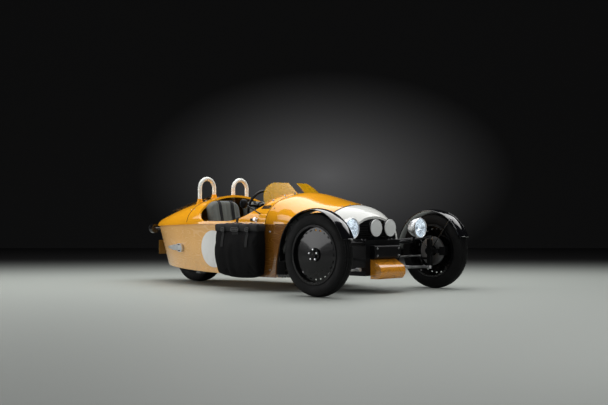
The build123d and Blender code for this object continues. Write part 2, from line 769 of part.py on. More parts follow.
def wishbones(side):
    arms = []
    for z, front, rear, radius, pin_side in WISHBONE_ROWS:
        face = STEM_Z[0] if pin_side < 0 else STEM_Z[1]
        near = face + pin_side * BALL_GAP
        away = near + pin_side * BALL_HEIGHT
        y = side * KINGPIN_Y
        ball = (at(0), y, (near + away) / 2)
        arms.append(pin_z(at(0), y, sorted((near, away)), BALL_R))
        arms.append(pin_z(at(0), y, sorted((near, face - pin_side * STUD_GRIP)), STUD_R))
        for behind in (front, rear):
            pivot = (at(behind), side * BUSH_Y, z)
            arms.append(rod(pivot, ball, radius))
            arms.append(pin_x((pivot[0] - BUSH_LONG / 2, pivot[0] + BUSH_LONG / 2), pivot[1], z, BUSH_R))
    return Part() + arms


def upright(side):
    """Stem between the ball joints, hub boss and spindle, steering arm and brake caliper."""
    x = at(0)
    y = side * KINGPIN_Y
    wheel_y = side * FRONT_TRACK / 2
    half = STEM / 2
    stem = block((x - half, x + half), (y - half, y + half), STEM_Z)
    boss_face = wheel_y - side * BOSS_FACE
    boss = pin_y(x, sorted((y - side * half, boss_face)), FRONT_TYRE_R, BOSS_R)
    spindle = pin_y(x, sorted((boss_face, wheel_y + side * SPINDLE_END)), FRONT_TYRE_R, SPINDLE_R)
    arm = block((x - ARM_REACH, x - half), (y - ARM_WIDE / 2, y + ARM_WIDE / 2), ARM_Z)
    arm_boss = pin_z(x - ARM_REACH, y, ARM_Z, ARM_BOSS_R)
    shape = stem + boss + spindle + arm + arm_boss + caliper(side)
    for pin_side, face in zip((-1, 1), STEM_Z):
        shape -= pin_z(x, y, sorted((face, face - pin_side * (STUD_GRIP + BALL_GAP))), STUD_R + RUN_CLEAR)
    return shape


def caliper(side):
    x = at(0)
    wheel_y = side * FRONT_TRACK / 2
    inner = wheel_y - side * (BRAKE_BACK + CALIPER_CLEAR)
    outer = wheel_y - side * (BRAKE_BACK - BRAKE_THICK - CALIPER_CLEAR)
    back = inner - side * CALIPER_SHOE
    half = CALIPER_HALF
    body = block((x + CALIPER_X[0], x + CALIPER_X[1]), (back, outer + side * CALIPER_SHOE),
                 (FRONT_TYRE_R - half, FRONT_TYRE_R + half))
    body -= pin_y(x, sorted((inner, outer)), FRONT_TYRE_R, BRAKE_R + CALIPER_CLEAR)
    bracket = block((x, x + CALIPER_X[0]), (side * KINGPIN_Y, inner - side * RUN_CLEAR),
                    (FRONT_TYRE_R - BOSS_R / 2, FRONT_TYRE_R + BOSS_R / 2))
    return body + bracket


def mudguard(side):
    """Arched guard on two stays from the hub boss."""
    arc = GUARD_END - GUARD_START
    half, edge = GUARD_HALF, GUARD_EDGE_R
    under = edge - GUARD_SHEET
    section = outline(
        across(0),
        ThreePointArc((-half, edge), (0, GUARD_R), (half, edge)),
        Line((half, edge), (half, under)),
        ThreePointArc((half, under), (0, GUARD_R - GUARD_SHEET), (-half, under)),
        Line((-half, under), (-half, edge)),
    )
    section = Rot(0, 90 - GUARD_START, 0) * section
    guard = revolve(section, Axis((0, 0, 0), (0, -1, 0)), arc)
    centre = Pos(at(0), side * FRONT_TRACK / 2, FRONT_TYRE_R)
    stay = Vector(0, side * (FIXED_CLEAR / 2 - GUARD_HALF), 0)
    shape = Pos(-GUARD_BACK, 0, GUARD_LIFT) * guard
    reach = GUARD_EDGE_R - GUARD_SHEET / 2
    for angle in map(radians, STAY_ANGLES):
        tip = Vector(reach * cos(angle) - GUARD_BACK, 0, reach * sin(angle) + GUARD_LIFT)
        foot = tip.normalized() * (BOSS_R / 2)
        shape += rod(tuple(foot + stay), tuple(tip + stay), STAY_R)
    shape -= pin_y(0, (-FRONT_TRACK / 2, FRONT_TRACK / 2), 0, BOSS_R)
    return centre * shape


def tyre(radius, rim, width, bead):
    """Round section from bead to bead, with a crowned tread between the shoulders."""
    middle = rim + BULGE_SHARE * (radius - rim)
    shoulder, drop = SHOULDER_SHARE * width, CROWN_SHARE * radius
    face = outline(
        across(0),
        ThreePointArc((-bead, rim), (-width / 2, middle), (-shoulder, radius - drop)),
        ThreePointArc((-shoulder, radius - drop), (0, radius), (shoulder, radius - drop)),
        ThreePointArc((shoulder, radius - drop), (width / 2, middle), (bead, rim)),
        Line((bead, rim), (-bead, rim)),
    )
    return revolve(face, Axis.Y)


def front_tyre(side):
    ring = tyre(FRONT_TYRE_R, FRONT_RIM_R, FRONT_TYRE_W, FRONT_BEAD)
    return Pos(at(0), side * FRONT_TRACK / 2, FRONT_TYRE_R) * ring


def front_wheel(side):
    """Dished disc wheel: slots round the rim, five nuts and a cap on the hub."""
    rim, edge, lip = FRONT_RIM_R, WHEEL_EDGE, WHEEL_LIP
    bore = SPINDLE_R + RUN_CLEAR
    inner = rim - BARREL
    face = outline(across(0), Polyline(
        (-edge, rim + WHEEL_FLANGE), (lip - edge, rim + WHEEL_FLANGE), (lip - edge, rim), (edge - lip, rim),
        (edge - lip, rim + WHEEL_FLANGE), (edge, rim + WHEEL_FLANGE), (edge, inner),
        (DISC_RIM_Y, inner), (DISC_HUB_Y, HUB_R), (HUB_FACE, HUB_R), (HUB_FACE, bore),
        (-HUB_BACK, bore), (-HUB_BACK, HUB_R), (DISC_HUB_Y - DISC_THICK, HUB_R),
        (DISC_RIM_Y - DISC_THICK, inner), (-edge, inner), close=True))
    wheel = revolve(face, Axis.Y)
    wheel += pin_y(0, (HUB_FACE, HUB_FACE + CAP_LONG), 0, CAP_R)
    nuts, slots = [], []
    for step in range(NUTS):
        nut = pin_y(0, (HUB_FACE, HUB_FACE + NUT_LONG), NUT_CIRCLE_R, NUT_R)
        nuts.append(Rot(0, step * 360 / NUTS, 0) * nut)
    for step in range(WHEEL_SLOTS):
        slot = Pos(0, DISC_RIM_Y, WHEEL_SLOT_R) * Box(WHEEL_SLOT[0], 4 * DISC_THICK, WHEEL_SLOT[1])
        slots.append(Rot(0, step * 360 / WHEEL_SLOTS, 0) * slot)
    wheel = wheel + nuts - slots
    turned = wheel if side > 0 else mirror(wheel, about=Plane.XZ)
    return Pos(at(0), side * FRONT_TRACK / 2, FRONT_TYRE_R) * turned


def brake_disc(side):
    back, front = -BRAKE_BACK, BRAKE_THICK - BRAKE_BACK
    middle = (back + front) / 2
    face = outline(across(0), Polyline(
        (back, BRAKE_BORE), (back, BRAKE_R), (front, BRAKE_R), (front, BRAKE_BORE), (-HUB_BACK, BRAKE_BORE),
        (-HUB_BACK, BRAKE_BELL_R), (middle, BRAKE_BELL_R), (middle, BRAKE_BORE), close=True))
    disc = revolve(face, Axis.Y)
    turned = disc if side > 0 else mirror(disc, about=Plane.XZ)
    return Pos(at(0), side * FRONT_TRACK / 2, FRONT_TYRE_R) * turned


def tie_z():
    return ARM_Z[1] + TIE_GAP + TIE_R


def tie_rods():
    """Rack bar with a rod and an eye at each end."""
    x, z = at(ARM_REACH), tie_z()
    rack_half = casting_half(ARM_REACH) - CASTING_WALL - RACK_TRAVEL
    bar = pin_y(x, (-KINGPIN_Y, KINGPIN_Y), z, TIE_R) + pin_y(x, (-rack_half, rack_half), z, RACK_R)
    for _, side in SIDES:
        bar += pin_z(x, side * KINGPIN_Y, (z - TIE_EYE_HIGH / 2, z + TIE_EYE_HIGH / 2), TIE_EYE_R)
    return bar


def rear_tyre():
    return Pos(REAR_AXLE_X, 0, REAR_TYRE_R) * tyre(REAR_TYRE_R, REAR_RIM_R, REAR_TYRE_W, REAR_BEAD)


def rear_wheel():
    rim, edge, lip = REAR_RIM_R, REAR_EDGE, WHEEL_LIP
    inner = rim - BARREL
    bore = REAR_AXLE_R + RUN_CLEAR
    web = REAR_WEB / 2
    face = outline(across(0), Polyline(
        (-edge, rim + WHEEL_FLANGE), (lip - edge, rim + WHEEL_FLANGE), (lip - edge, rim), (edge - lip, rim),
        (edge - lip, rim + WHEEL_FLANGE), (edge, rim + WHEEL_FLANGE), (edge, inner), (web, inner),
        (web, REAR_HUB_R), (REAR_HUB_HALF, REAR_HUB_R), (REAR_HUB_HALF, bore), (-REAR_HUB_HALF, bore),
        (-REAR_HUB_HALF, REAR_HUB_R), (-web, REAR_HUB_R), (-web, inner), (-edge, inner), close=True))
    return Pos(REAR_AXLE_X, 0, REAR_TYRE_R) * revolve(face, Axis.Y)


def swing_arm():
    """Two arms from the bulkhead to the rear axle."""
    pivot_x = at(BULKHEAD_AT + BULKHEAD_THICK)
    arms = [pin_y(REAR_AXLE_X, (-SWING_Y, SWING_Y), REAR_TYRE_R, REAR_AXLE_R)]
    for _, side in SIDES:
        y = (side * SWING_Y, side * (SWING_Y + SWING_WIDE))
        arms.append(block((REAR_AXLE_X, pivot_x), y,
                          (REAR_TYRE_R - SWING_HIGH / 2, REAR_TYRE_R + SWING_HIGH / 2)))
        arms.append(pin_y(REAR_AXLE_X, sorted(y), REAR_TYRE_R, SWING_BOSS_R))
    return Part() + arms


def lamp_bowl(front_x, radius, deep):
    """Round bowl about X, open in front."""
    bend = (front_x - BOWL_BEND[0] * deep, BOWL_BEND[1] * radius)
    face = outline(
        Plane.XZ,
        Line((front_x - deep, 0), (front_x, 0)),
        Line((front_x, 0), (front_x, radius)),
        Line((front_x, radius), (front_x - 2 * LENS_INSET, radius)),
        ThreePointArc((front_x - 2 * LENS_INSET, radius), bend, (front_x - deep, 0)),
    )
    return revolve(face, Axis.X)


def headlamp_bowls():
    def bowl(side):
        x, y = at(HEADLAMP_POST_AT), side * HEADLAMP_Y
        shape = Pos(0, y, HEADLAMP_Z) * lamp_bowl(at(HEADLAMP_AT), HEADLAMP_R, HEADLAMP_DEEP)
        post = pin_z(x, y, (HEADLAMP_ARM_Z, HEADLAMP_Z - HEADLAMP_R / 2), HEADLAMP_ARM_R)
        arm = pin_y(x, sorted((side * CASTING_FRONT_HALF / 2, y)), HEADLAMP_ARM_Z, HEADLAMP_ARM_R)
        joint = Pos(x, y, HEADLAMP_ARM_Z) * Sphere(HEADLAMP_ARM_R)
        return shape - headlamp_lens(side) + post + (arm - casting_block()) + joint

    return both_sides(bowl)


def headlamp_lens(side):
    front = at(HEADLAMP_AT)
    return pin_x((front - LENS_THICK, front), side * HEADLAMP_Y, HEADLAMP_Z, HEADLAMP_R - LENS_INSET)


def headlamp_lenses():
    return both_sides(headlamp_lens)


def spot_lamps():
    def lamp(side):
        bowl = Pos(0, side * SPOT_Y, SPOT_Z) * lamp_bowl(at(SPOT_AT), SPOT_R, SPOT_DEEP)
        post = pin_z(at(SPOT_POST_AT), side * SPOT_Y, (NOSE_LIP_Z, SPOT_Z - SPOT_R / 2), SPOT_POST_R)
        return bowl + post

    return both_sides(lamp)


def spot_lamp_covers():
    def cover(side):
        return pin_x((at(SPOT_AT), at(SPOT_AT) + COVER_THICK), side * SPOT_Y, SPOT_Z, SPOT_R)

    return both_sides(cover)


def tail_lamps():
    """Two round lamps on a bar held by a foot on the stern."""
    rear = -OVERALL_LENGTH / 2
    front = rear + TAIL_LAMP_LONG
    lamps = [pin_x((rear, front), side * TAIL_LAMP_Y, TAIL_LAMP_Z, TAIL_LAMP_R) for _, side in SIDES]
    bar = pin_y(front, (-TAIL_LAMP_Y, TAIL_LAMP_Y), TAIL_LAMP_Z, LAMP_BAR_R)
    foot = block((front, front + FAR / 10), (-LAMP_FOOT[0] / 2, LAMP_FOOT[0] / 2),
                 (TAIL_LAMP_Z - LAMP_FOOT[1] / 2, TAIL_LAMP_Z + LAMP_FOOT[1] / 2))
    stern = block((at(CAP_START), FAR), (-FAR, FAR), (0, FAR))
    return Part() + lamps + bar + (foot - TUB_SOLID - stern)


def plate_holder():
    """Blank plate with two bolt holes on a bracket from the stern."""
    rear = at(stern_tip() + PLATE_STANDS)
    front = rear + PLATE_THICK
    middle = (PLATE_Z[0] + PLATE_Z[1]) / 2
    plate = block((rear, front), (-PLATE_HALF, PLATE_HALF), PLATE_Z)
    for _, side in SIDES:
        plate -= pin_x((rear, front), side * PLATE_HOLE_SPACING / 2, middle, PLATE_HOLE_R)
    bracket = block((front, front + FAR / 10), (-PLATE_BRACKET[0] / 2, PLATE_BRACKET[0] / 2),
                    (middle - PLATE_BRACKET[1] / 2, middle + PLATE_BRACKET[1] / 2))
    inside = block((at(FLOOR_CAP_START + FLOOR_CAP_HALF / 2), FAR), (-FAR, FAR), (0, FAR))
    return plate + (bracket - TUB_SOLID - inside)


def exhaust_outlet():
    """Teardrop cover lying on the right rear flank, with a slot above and below its front half."""
    rear_x, front_x = at(OUTLET[0]) + OUTLET_R[0], at(OUTLET[1]) - OUTLET_R[1]
    rear_r, front_r = OUTLET_R
    lean = asin((front_r - rear_r) / (front_x - rear_x))
    tips = []
    for x, r in ((rear_x, rear_r), (front_x, front_r)):
        tips.append((x - r * sin(lean), r * cos(lean)))
    edges = outline(
        Plane(origin=(0, 0, OUTLET_Z), x_dir=(1, 0, 0), z_dir=(0, -1, 0)),
        Line(tips[0], tips[1]),
        ThreePointArc(tips[1], (front_x + front_r, 0), (tips[1][0], -tips[1][1])),
        Line((tips[1][0], -tips[1][1]), (tips[0][0], -tips[0][1])),
        ThreePointArc((tips[0][0], -tips[0][1]), (rear_x - rear_r, 0), tips[0]),
    )
    cover = (extrude(edges, FAR, dir=RIGHT) & tub_form(FLOOR_Z, -OUTLET_STANDS)) - TUB_SOLID
    long, high = OUTLET_SLOT
    slots = []
    for z in (OUTLET_Z - OUTLET_SLOT_OFF, OUTLET_Z + OUTLET_SLOT_OFF):
        slots.append(block((front_x - long, front_x), (-FAR, 0), (z - high / 2, z + high / 2)))
    backing = tub_form(FLOOR_Z, OUTLET_SLOT_DEEP - OUTLET_STANDS)
    return cover - (Part() + slots - backing)


def deck_crown(behind):
    """Crown height of the tail deck between its rows."""
    share = (behind - TAIL_START) / (CAP_START - TAIL_START)
    for (near, high), (far, low) in zip(TAIL_ROWS, TAIL_ROWS[1:]):
        if near <= share <= far:
            return BELT_Z + high + (share - near) / (far - near) * (low - high)
    return BELT_Z + TAIL_ROWS[-1][1]


def luggage_rack():
    """Two bowed rails with cross bars, standing on feet on the tail deck."""
    spots = [(at(behind), deck_crown(behind) + RACK_LIFT) for behind in RACK_AT]
    shape = Part()
    for _, side in SIDES:
        path = along(side * RACK_Y) * ThreePointArc(*spots)
        shape += sweep(Plane(path @ 0, z_dir=path % 0) * Circle(RACK_RAIL_R), path=path)
        for step in RACK_FEET:
            top = path @ step
            shape += pin_z(top.X, top.Y, (BELT_Z, top.Z), RACK_FOOT_R) - TAIL_DOME
    path = along(0) * ThreePointArc(*spots)
    for step in range(RACK_BARS):
        spot = path @ ((step + 0.5) / RACK_BARS)
        shape += pin_y(spot.X, (-RACK_Y, RACK_Y), spot.Z, RACK_FOOT_R)
    return shape


def seat_plane(side):
    return (side * SEAT_Y - SEAT_HALF, side * SEAT_Y + SEAT_HALF)


def seat_cushions():
    low = FLOOR_Z + FLOOR_WALL

    def cushion(side):
        front, rear = at(SEAT_FRONT), at(SEAT_BACK_FOOT[0])
        shape = prism_y([(front, low), (front, SEAT_NOSE_Z), (rear, SEAT_CUSHION_Z), (rear, low)],
                        seat_plane(side))
        return fillet(shape.edges().filter_by(Axis.Y).group_by(Axis.Z)[-1], SEAT_ROUND) - UNDER_FLOOR

    return both_sides(cushion)


def seat_backs():
    foot, top = SEAT_BACK_FOOT, SEAT_BACK_TOP
    low = FLOOR_Z + FLOOR_WALL
    slope = (top[0] - foot[0]) / (top[1] - foot[1])
    start = foot[0] + SEAT_GAP

    def back(side):
        shape = prism_y([(at(start), low), (at(start), foot[1]), (at(top[0]), top[1]),
                         (at(top[0] + SEAT_BACK_THICK), top[1]),
                         (at(start + SEAT_BACK_THICK + slope * (low - foot[1])), low)], seat_plane(side))
        return fillet(shape.edges().filter_by(Axis.Y).group_by(Axis.Z)[-1], SEAT_ROUND) - UNDER_FLOOR

    return both_sides(back)


def tunnel():
    box = block((at(TUNNEL_REAR), at(TUB_FRONT + TUB_WALL)), (-TUNNEL_HALF, TUNNEL_HALF),
                (FLOOR_Z + FLOOR_WALL, TUNNEL_Z))
    return box - UNDER_FLOOR


def gear_lever():
    x = at(LEVER_AT)
    stick = pin_z(x, 0, (TUNNEL_Z, TUNNEL_Z + LEVER_HIGH), LEVER_R)
    return stick + Pos(x, 0, TUNNEL_Z + LEVER_HIGH) * Sphere(LEVER_KNOB_R)


def dashboard():
    panel = MIDDLE_HOLLOW & slab(DASH_AT, DASH_AT + DASH_THICK)
    return panel & block((-FAR, FAR), (-FAR, FAR), (DASH_Z, FAR))


def column_plane():
    """Frame of the steering column: its Z points up and back at the driver."""
    rake = radians(WHEEL_RAKE)
    return Plane(origin=(at(WHEEL_CENTRE_AT), -SEAT_Y, WHEEL_CENTRE_Z), x_dir=(0, -1, 0),
                 z_dir=(-cos(rake), 0, sin(rake)))


def steering_column():
    tube = Cylinder(COLUMN_R, FAR, align=(Align.CENTER, Align.CENTER, Align.MAX))
    pin = Cylinder(COLUMN_PIN_R, WHEEL_HUB_LONG, align=(Align.CENTER, Align.CENTER, Align.MAX))
    stepped = Pos(0, 0, -WHEEL_HUB_LONG) * tube + Pos(0, 0, RUN_CLEAR - COLUMN_PIN_R) * pin
    column = column_plane() * stepped
    return column & slab(DASH_AT + DASH_THICK, WHEELBASE)


def steering_wheel():
    """Round rim, three flat spokes and a hub on the column pin."""
    wheel = Torus(WHEEL_RIM_R - WHEEL_GRIP_R, WHEEL_GRIP_R)
    wide, thick = WHEEL_SPOKE
    spoke = Pos((WHEEL_RIM_R - WHEEL_GRIP_R) / 2, 0, 0) * Box(WHEEL_RIM_R - WHEEL_GRIP_R, wide, thick)
    for angle in (0, 180, 270):
        wheel += Rot(0, 0, angle) * spoke
    hub = Cylinder(WHEEL_HUB_R, WHEEL_HUB_LONG - FIXED_CLEAR, align=(Align.CENTER, Align.CENTER, Align.MAX))
    wheel += Pos(0, 0, WHEEL_SPOKE[1]) * hub
    bore = Cylinder(COLUMN_PIN_R + RUN_CLEAR, WHEEL_HUB_LONG, align=(Align.CENTER, Align.CENTER, Align.MAX))
    return column_plane() * (wheel - Pos(0, 0, -WHEEL_SPOKE[1]) * bore)


def pedals():
    thick, wide, high = PEDAL
    x = at(PEDAL_AT)
    shapes = []
    for offset_y in PEDAL_SPREAD:
        y = offset_y - SEAT_Y
        pad = block((x, x + thick), (y - wide / 2, y + wide / 2), (PEDAL_Z - high / 2, PEDAL_Z + high / 2))
        shapes.append(pad + pin_x((x + thick, at(TUB_FRONT + TUB_WALL)), y, PEDAL_Z, PEDAL_STEM_R))
    return shapes


def aero_screens():
    """Curved screens leaning back on the scuttle, cut away at their outer top corners."""
    crown = FRONT_DOME_ROWS[-1][3]
    base = (BELT_Z + crown) / 2
    inner, outer = SCREEN_SIDES
    start = at(SCREEN_AT) + SCREEN_LEAN * (crown - base)
    way = Vector(-SCREEN_LEAN, 0, 1)

    def screen(side):
        def out(share):
            return side * (inner + share * (outer - inner))

        front = [(start - aft, out(share)) for aft, share in SCREEN_ROWS]
        rear = [(x - SCREEN_THICK, y) for x, y in front]
        plan = outline(Plane.XY.offset(base), ThreePointArc(*front), Line(front[2], rear[2]),
                       ThreePointArc(*reversed(rear)), Line(rear[0], front[0]))
        sheet = extrude(plan, (SCREEN_TOP_Z - base) * way.length, dir=way)
        corner = [(out(share), SCREEN_TOP_Z - drop) for share, drop in SCREEN_CORNER]
        above = outline(across(at(SCREEN_AT) - FAR / 2), ThreePointArc(*corner),
                        Line(corner[2], (corner[2][0], FAR)), Line((corner[2][0], FAR), (corner[0][0], FAR)),
                        Line((corner[0][0], FAR), corner[0]))
        return sheet - extrude(above, FAR, dir=(1, 0, 0)) - FRONT_DOME - MIDDLE_DOME

    return both_sides(screen)


def mirrors():
    def mirror_on(side):
        foot = (at(MIRROR_FOOT[0]), side * MIRROR_FOOT[1], MIRROR_FOOT[2])
        head = (at(MIRROR_HEAD[0]), side * MIRROR_HEAD[1], MIRROR_HEAD[2])
        stalk = rod(foot, head, MIRROR_STALK_R) - MIDDLE_DOME
        glass = pin_x((head[0] - MIRROR_THICK / 2, head[0] + MIRROR_THICK / 2), head[1], head[2], MIRROR_R)
        return stalk + glass

    return both_sides(mirror_on)


NODES = {
    "body_tub": body_tub(),
    "nose_cone": nose_cone(),
    "bonnet": bonnet(),
    "cockpit_surround": cockpit_surround(),
    "tail_deck": tail_deck(),
    "roll_hoops": roll_hoops(),
    "front_casting": front_casting(),
    "bonnet_tray": bonnet_tray(),
    "engine_block": engine_block(),
    "grille": grille(),
    "chin_guard": chin_guard(),
    "side_blades": side_blades(),
    "radiators": radiators(),
    "tie_rods": tie_rods(),
    "rear_tyre": rear_tyre(),
    "rear_wheel": rear_wheel(),
    "swing_arm": swing_arm(),
    "headlamp_bowls": headlamp_bowls(),
    "headlamp_lenses": headlamp_lenses(),
    "spot_lamps": spot_lamps(),
    "spot_lamp_covers": spot_lamp_covers(),
    "tail_lamps": tail_lamps(),
    "plate_holder": plate_holder(),
    "exhaust_outlet": exhaust_outlet(),
    "luggage_rack": luggage_rack(),
    "seat_cushions": seat_cushions(),
    "seat_backs": seat_backs(),
    "tunnel": tunnel(),
    "gear_lever": gear_lever(),
    "dashboard": dashboard(),
    "steering_column": steering_column(),
    "steering_wheel": steering_wheel(),
    "pedals": pedals(),
    "aero_screens": aero_screens(),
    "mirrors": mirrors(),
}
for name, side in SIDES:
    NODES["pannier_" + name] = pannier(side)
    NODES["wishbones_" + name] = wishbones(side)
    NODES["upright_" + name] = upright(side)
    NODES["mudguard_" + name] = mudguard(side)
    NODES["front_tyre_" + name] = front_tyre(side)
    NODES["front_wheel_" + name] = front_wheel(side)
    NODES["brake_disc_" + name] = brake_disc(side)

for name, shape in NODES.items():
    whole = Compound(children=shape) if isinstance(shape, list) else shape
    export_step(whole, "parts/" + name + ".step")
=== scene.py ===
from math import cos, pi, radians, sin

import bmesh
import bpy
from mathutils import Matrix, Vector, noise
from mathutils.bvhtree import BVHTree


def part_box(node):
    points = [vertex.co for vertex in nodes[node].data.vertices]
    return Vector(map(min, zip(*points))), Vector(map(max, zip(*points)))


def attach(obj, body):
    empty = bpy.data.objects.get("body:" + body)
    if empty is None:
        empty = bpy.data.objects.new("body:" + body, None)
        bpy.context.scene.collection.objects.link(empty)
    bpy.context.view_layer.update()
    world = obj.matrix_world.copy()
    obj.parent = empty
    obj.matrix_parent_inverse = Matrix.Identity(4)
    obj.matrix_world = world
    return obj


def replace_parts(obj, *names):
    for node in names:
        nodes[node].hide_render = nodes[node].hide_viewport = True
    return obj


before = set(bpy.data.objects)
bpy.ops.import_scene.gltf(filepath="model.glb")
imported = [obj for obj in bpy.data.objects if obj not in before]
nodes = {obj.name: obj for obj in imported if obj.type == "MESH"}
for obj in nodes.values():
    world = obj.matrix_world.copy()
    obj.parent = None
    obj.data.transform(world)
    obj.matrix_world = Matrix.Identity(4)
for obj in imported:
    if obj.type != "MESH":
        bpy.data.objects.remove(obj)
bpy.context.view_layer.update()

# The yellow panels: tub, bonnet, cockpit surround and tail deck are pressed sheet, sprayed in one
# batch and polished, screwed together along open seams. The lacquer has a faint orange peel, and
# road film gathers low on the flanks.
scene = bpy.context.scene


def put(tree, kind, inputs=None, **settings):
    """Add one shader node; its inputs are plain values or the sockets that feed them."""
    made = tree.nodes.new("ShaderNode" + kind)
    for key, value in settings.items():
        setattr(made, key, value)
    for key, value in (inputs or {}).items():
        if isinstance(value, bpy.types.NodeSocket):
            tree.links.new(value, made.inputs[key])
        else:
            made.inputs[key].default_value = value
    return made


def effect(name, inputs, outputs):
    """Empty node group with named sockets; returns the group, its input and its output node."""
    group = bpy.data.node_groups.new(name, "ShaderNodeTree")
    for label, kind, value in inputs:
        socket = group.interface.new_socket(label, in_out="INPUT", socket_type="NodeSocket" + kind)
        socket.default_value = value
    for label, kind in outputs:
        group.interface.new_socket(label, in_out="OUTPUT", socket_type="NodeSocket" + kind)
    return group, group.nodes.new("NodeGroupInput"), group.nodes.new("NodeGroupOutput")


def mix_colour(tree, factor, first, second):
    return put(tree, "Mix", {0: factor, 6: first, 7: second}, data_type="RGBA").outputs[2]


def maths(tree, operation, first, second=0.0):
    return put(tree, "Math", {0: first, 1: second}, operation=operation).outputs[0]


def ramp(tree, value, start, end, low=0.0, high=1.0):
    """Value carried from one range to another and held at its ends."""
    return put(tree, "MapRange", {"Value": value, "From Min": start, "From Max": end, "To Min": low,
                                  "To Max": high}).outputs[0]


def scaled(tree, colour, factor):
    return put(tree, "VectorMath", {0: colour, "Scale": factor}, operation="SCALE").outputs[0]


def finish(name, plain):
    """New material; plain values sit on the shader's own sockets."""
    made = bpy.data.materials.new(name)
    made.use_nodes = True
    shader = made.node_tree.nodes["Principled BSDF"]
    for key, value in plain.items():
        shader.inputs[key].default_value = value
    return made, made.node_tree, shader


def laid(tree, group, values):
    """A shared effect laid into one material with its own values."""
    return put(tree, "Group", values, node_tree=group).outputs


def raised(tree, shader, height, distance, strength=1.0):
    bump = put(tree, "Bump", {"Height": height, "Distance": distance, "Strength": strength})
    tree.links.new(bump.outputs["Normal"], shader.inputs["Normal"])


def surfaced(tree, shader, outputs, relief, strength):
    """Colour, roughness and relief of a shared effect led to the shader."""
    tree.links.new(outputs["Colour"], shader.inputs["Base Color"])
    tree.links.new(outputs["Roughness"], shader.inputs["Roughness"])
    raised(tree, shader, outputs["Height"], relief, strength)


def dress(material, *names):
    for name in names:
        nodes[name].data.materials.clear()
        nodes[name].data.materials.append(material)


lacquer_film, film_in, film_out = effect(
    "lacquer_film",
    [("Colour", "Color", (1, 1, 1, 1)), ("Film", "Color", (0.3, 0.27, 0.22, 1)), ("Amount", "Float", 0.3),
     ("Gloss", "Float", 0.12)],
    [("Colour", "Color"), ("Roughness", "Float"), ("Height", "Float")])
where = put(lacquer_film, "TexCoord").outputs["Object"]
tone = put(lacquer_film, "TexNoise", {"Vector": where, "Scale": 1.7, "Detail": 2.0}).outputs[0]
grit = put(lacquer_film, "TexNoise", {"Vector": where, "Scale": 24.0, "Detail": 7.0,
                                      "Roughness": 0.7}).outputs[0]
peel = put(lacquer_film, "TexNoise", {"Vector": where, "Scale": 330.0, "Detail": 1.0}).outputs[0]
level = put(lacquer_film, "SeparateXYZ", {0: where}).outputs[2]
low = ramp(lacquer_film, level, 0.42, 0.1)
speck = ramp(lacquer_film, grit, 0.42, 0.75)
dirt = maths(lacquer_film, "MULTIPLY", maths(lacquer_film, "MULTIPLY", low, speck), film_in.outputs["Amount"])
toned = scaled(lacquer_film, film_in.outputs["Colour"], ramp(lacquer_film, tone, 0.3, 0.7, 0.93, 1.05))
lacquer_film.links.new(mix_colour(lacquer_film, dirt, toned, film_in.outputs["Film"]),
                       film_out.inputs["Colour"])
rough = maths(lacquer_film, "ADD", film_in.outputs["Gloss"], maths(lacquer_film, "MULTIPLY", dirt, 0.5))
lacquer_film.links.new(maths(lacquer_film, "ADD", rough, maths(lacquer_film, "MULTIPLY", grit, 0.05)),
                       film_out.inputs["Roughness"])
lacquer_film.links.new(peel, film_out.inputs["Height"])


def lacquer(name, colour, film=0.35, gloss=0.14, coat=0.5):
    made, tree, shader = finish(name, {"Coat Weight": coat, "Coat Roughness": 0.05, "Coat IOR": 1.5,
                                       "Specular IOR Level": 0.1})
    sprayed = laid(tree, lacquer_film, {"Colour": colour, "Amount": film, "Gloss": gloss})
    surfaced(tree, shader, sprayed, 0.0002, 0.25)
    return made


yellow_lacquer = lacquer("yellow_lacquer", (0.88, 0.375, 0.014, 1))
dress(yellow_lacquer, "bonnet", "cockpit_surround", "tail_deck")

# The tub has printed contour lines under its lacquer, hardly paler than the paint. Its ground is paler than
# the other yellow panels, partly painted reflection of the pale floor on the flanks. Its inside is sprayed
# black; its front end behind the side blades and its jack pads are painted black as shade.
contours, contours_in, contours_out = effect(
    "contours",
    [("Ground", "Color", (1, 1, 1, 1)), ("Line", "Color", (0, 0, 0, 1)), ("Strength", "Float", 0.5)],
    [("Colour", "Color")])
where = put(contours, "TexCoord").outputs["Object"]
drawn = put(contours, "Mapping", {"Vector": where, "Scale": (1.3, 1.3, 4.0)}).outputs[0]
ground = put(contours, "TexNoise", {"Vector": drawn, "Scale": 1.5, "Detail": 1.5,
                                    "Distortion": 0.4}).outputs[0]
steps = maths(contours, "FRACT", maths(contours, "MULTIPLY", ground, 26.0))
off = maths(contours, "ABSOLUTE", maths(contours, "SUBTRACT", steps, 0.5))
inked = maths(contours, "MULTIPLY", maths(contours, "LESS_THAN", off, 0.13), contours_in.outputs["Strength"])
contours.links.new(mix_colour(contours, inked, contours_in.outputs["Ground"], contours_in.outputs["Line"]),
                   contours_out.inputs["Colour"])
axle_x = (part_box("front_tyre_right")[0][0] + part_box("front_tyre_right")[1][0]) / 2
tub_front, pad_x = axle_x - 0.830, axle_x - 2.060
pad_y, pad_reach, pad_top = 0.43, 0.05, 0.17


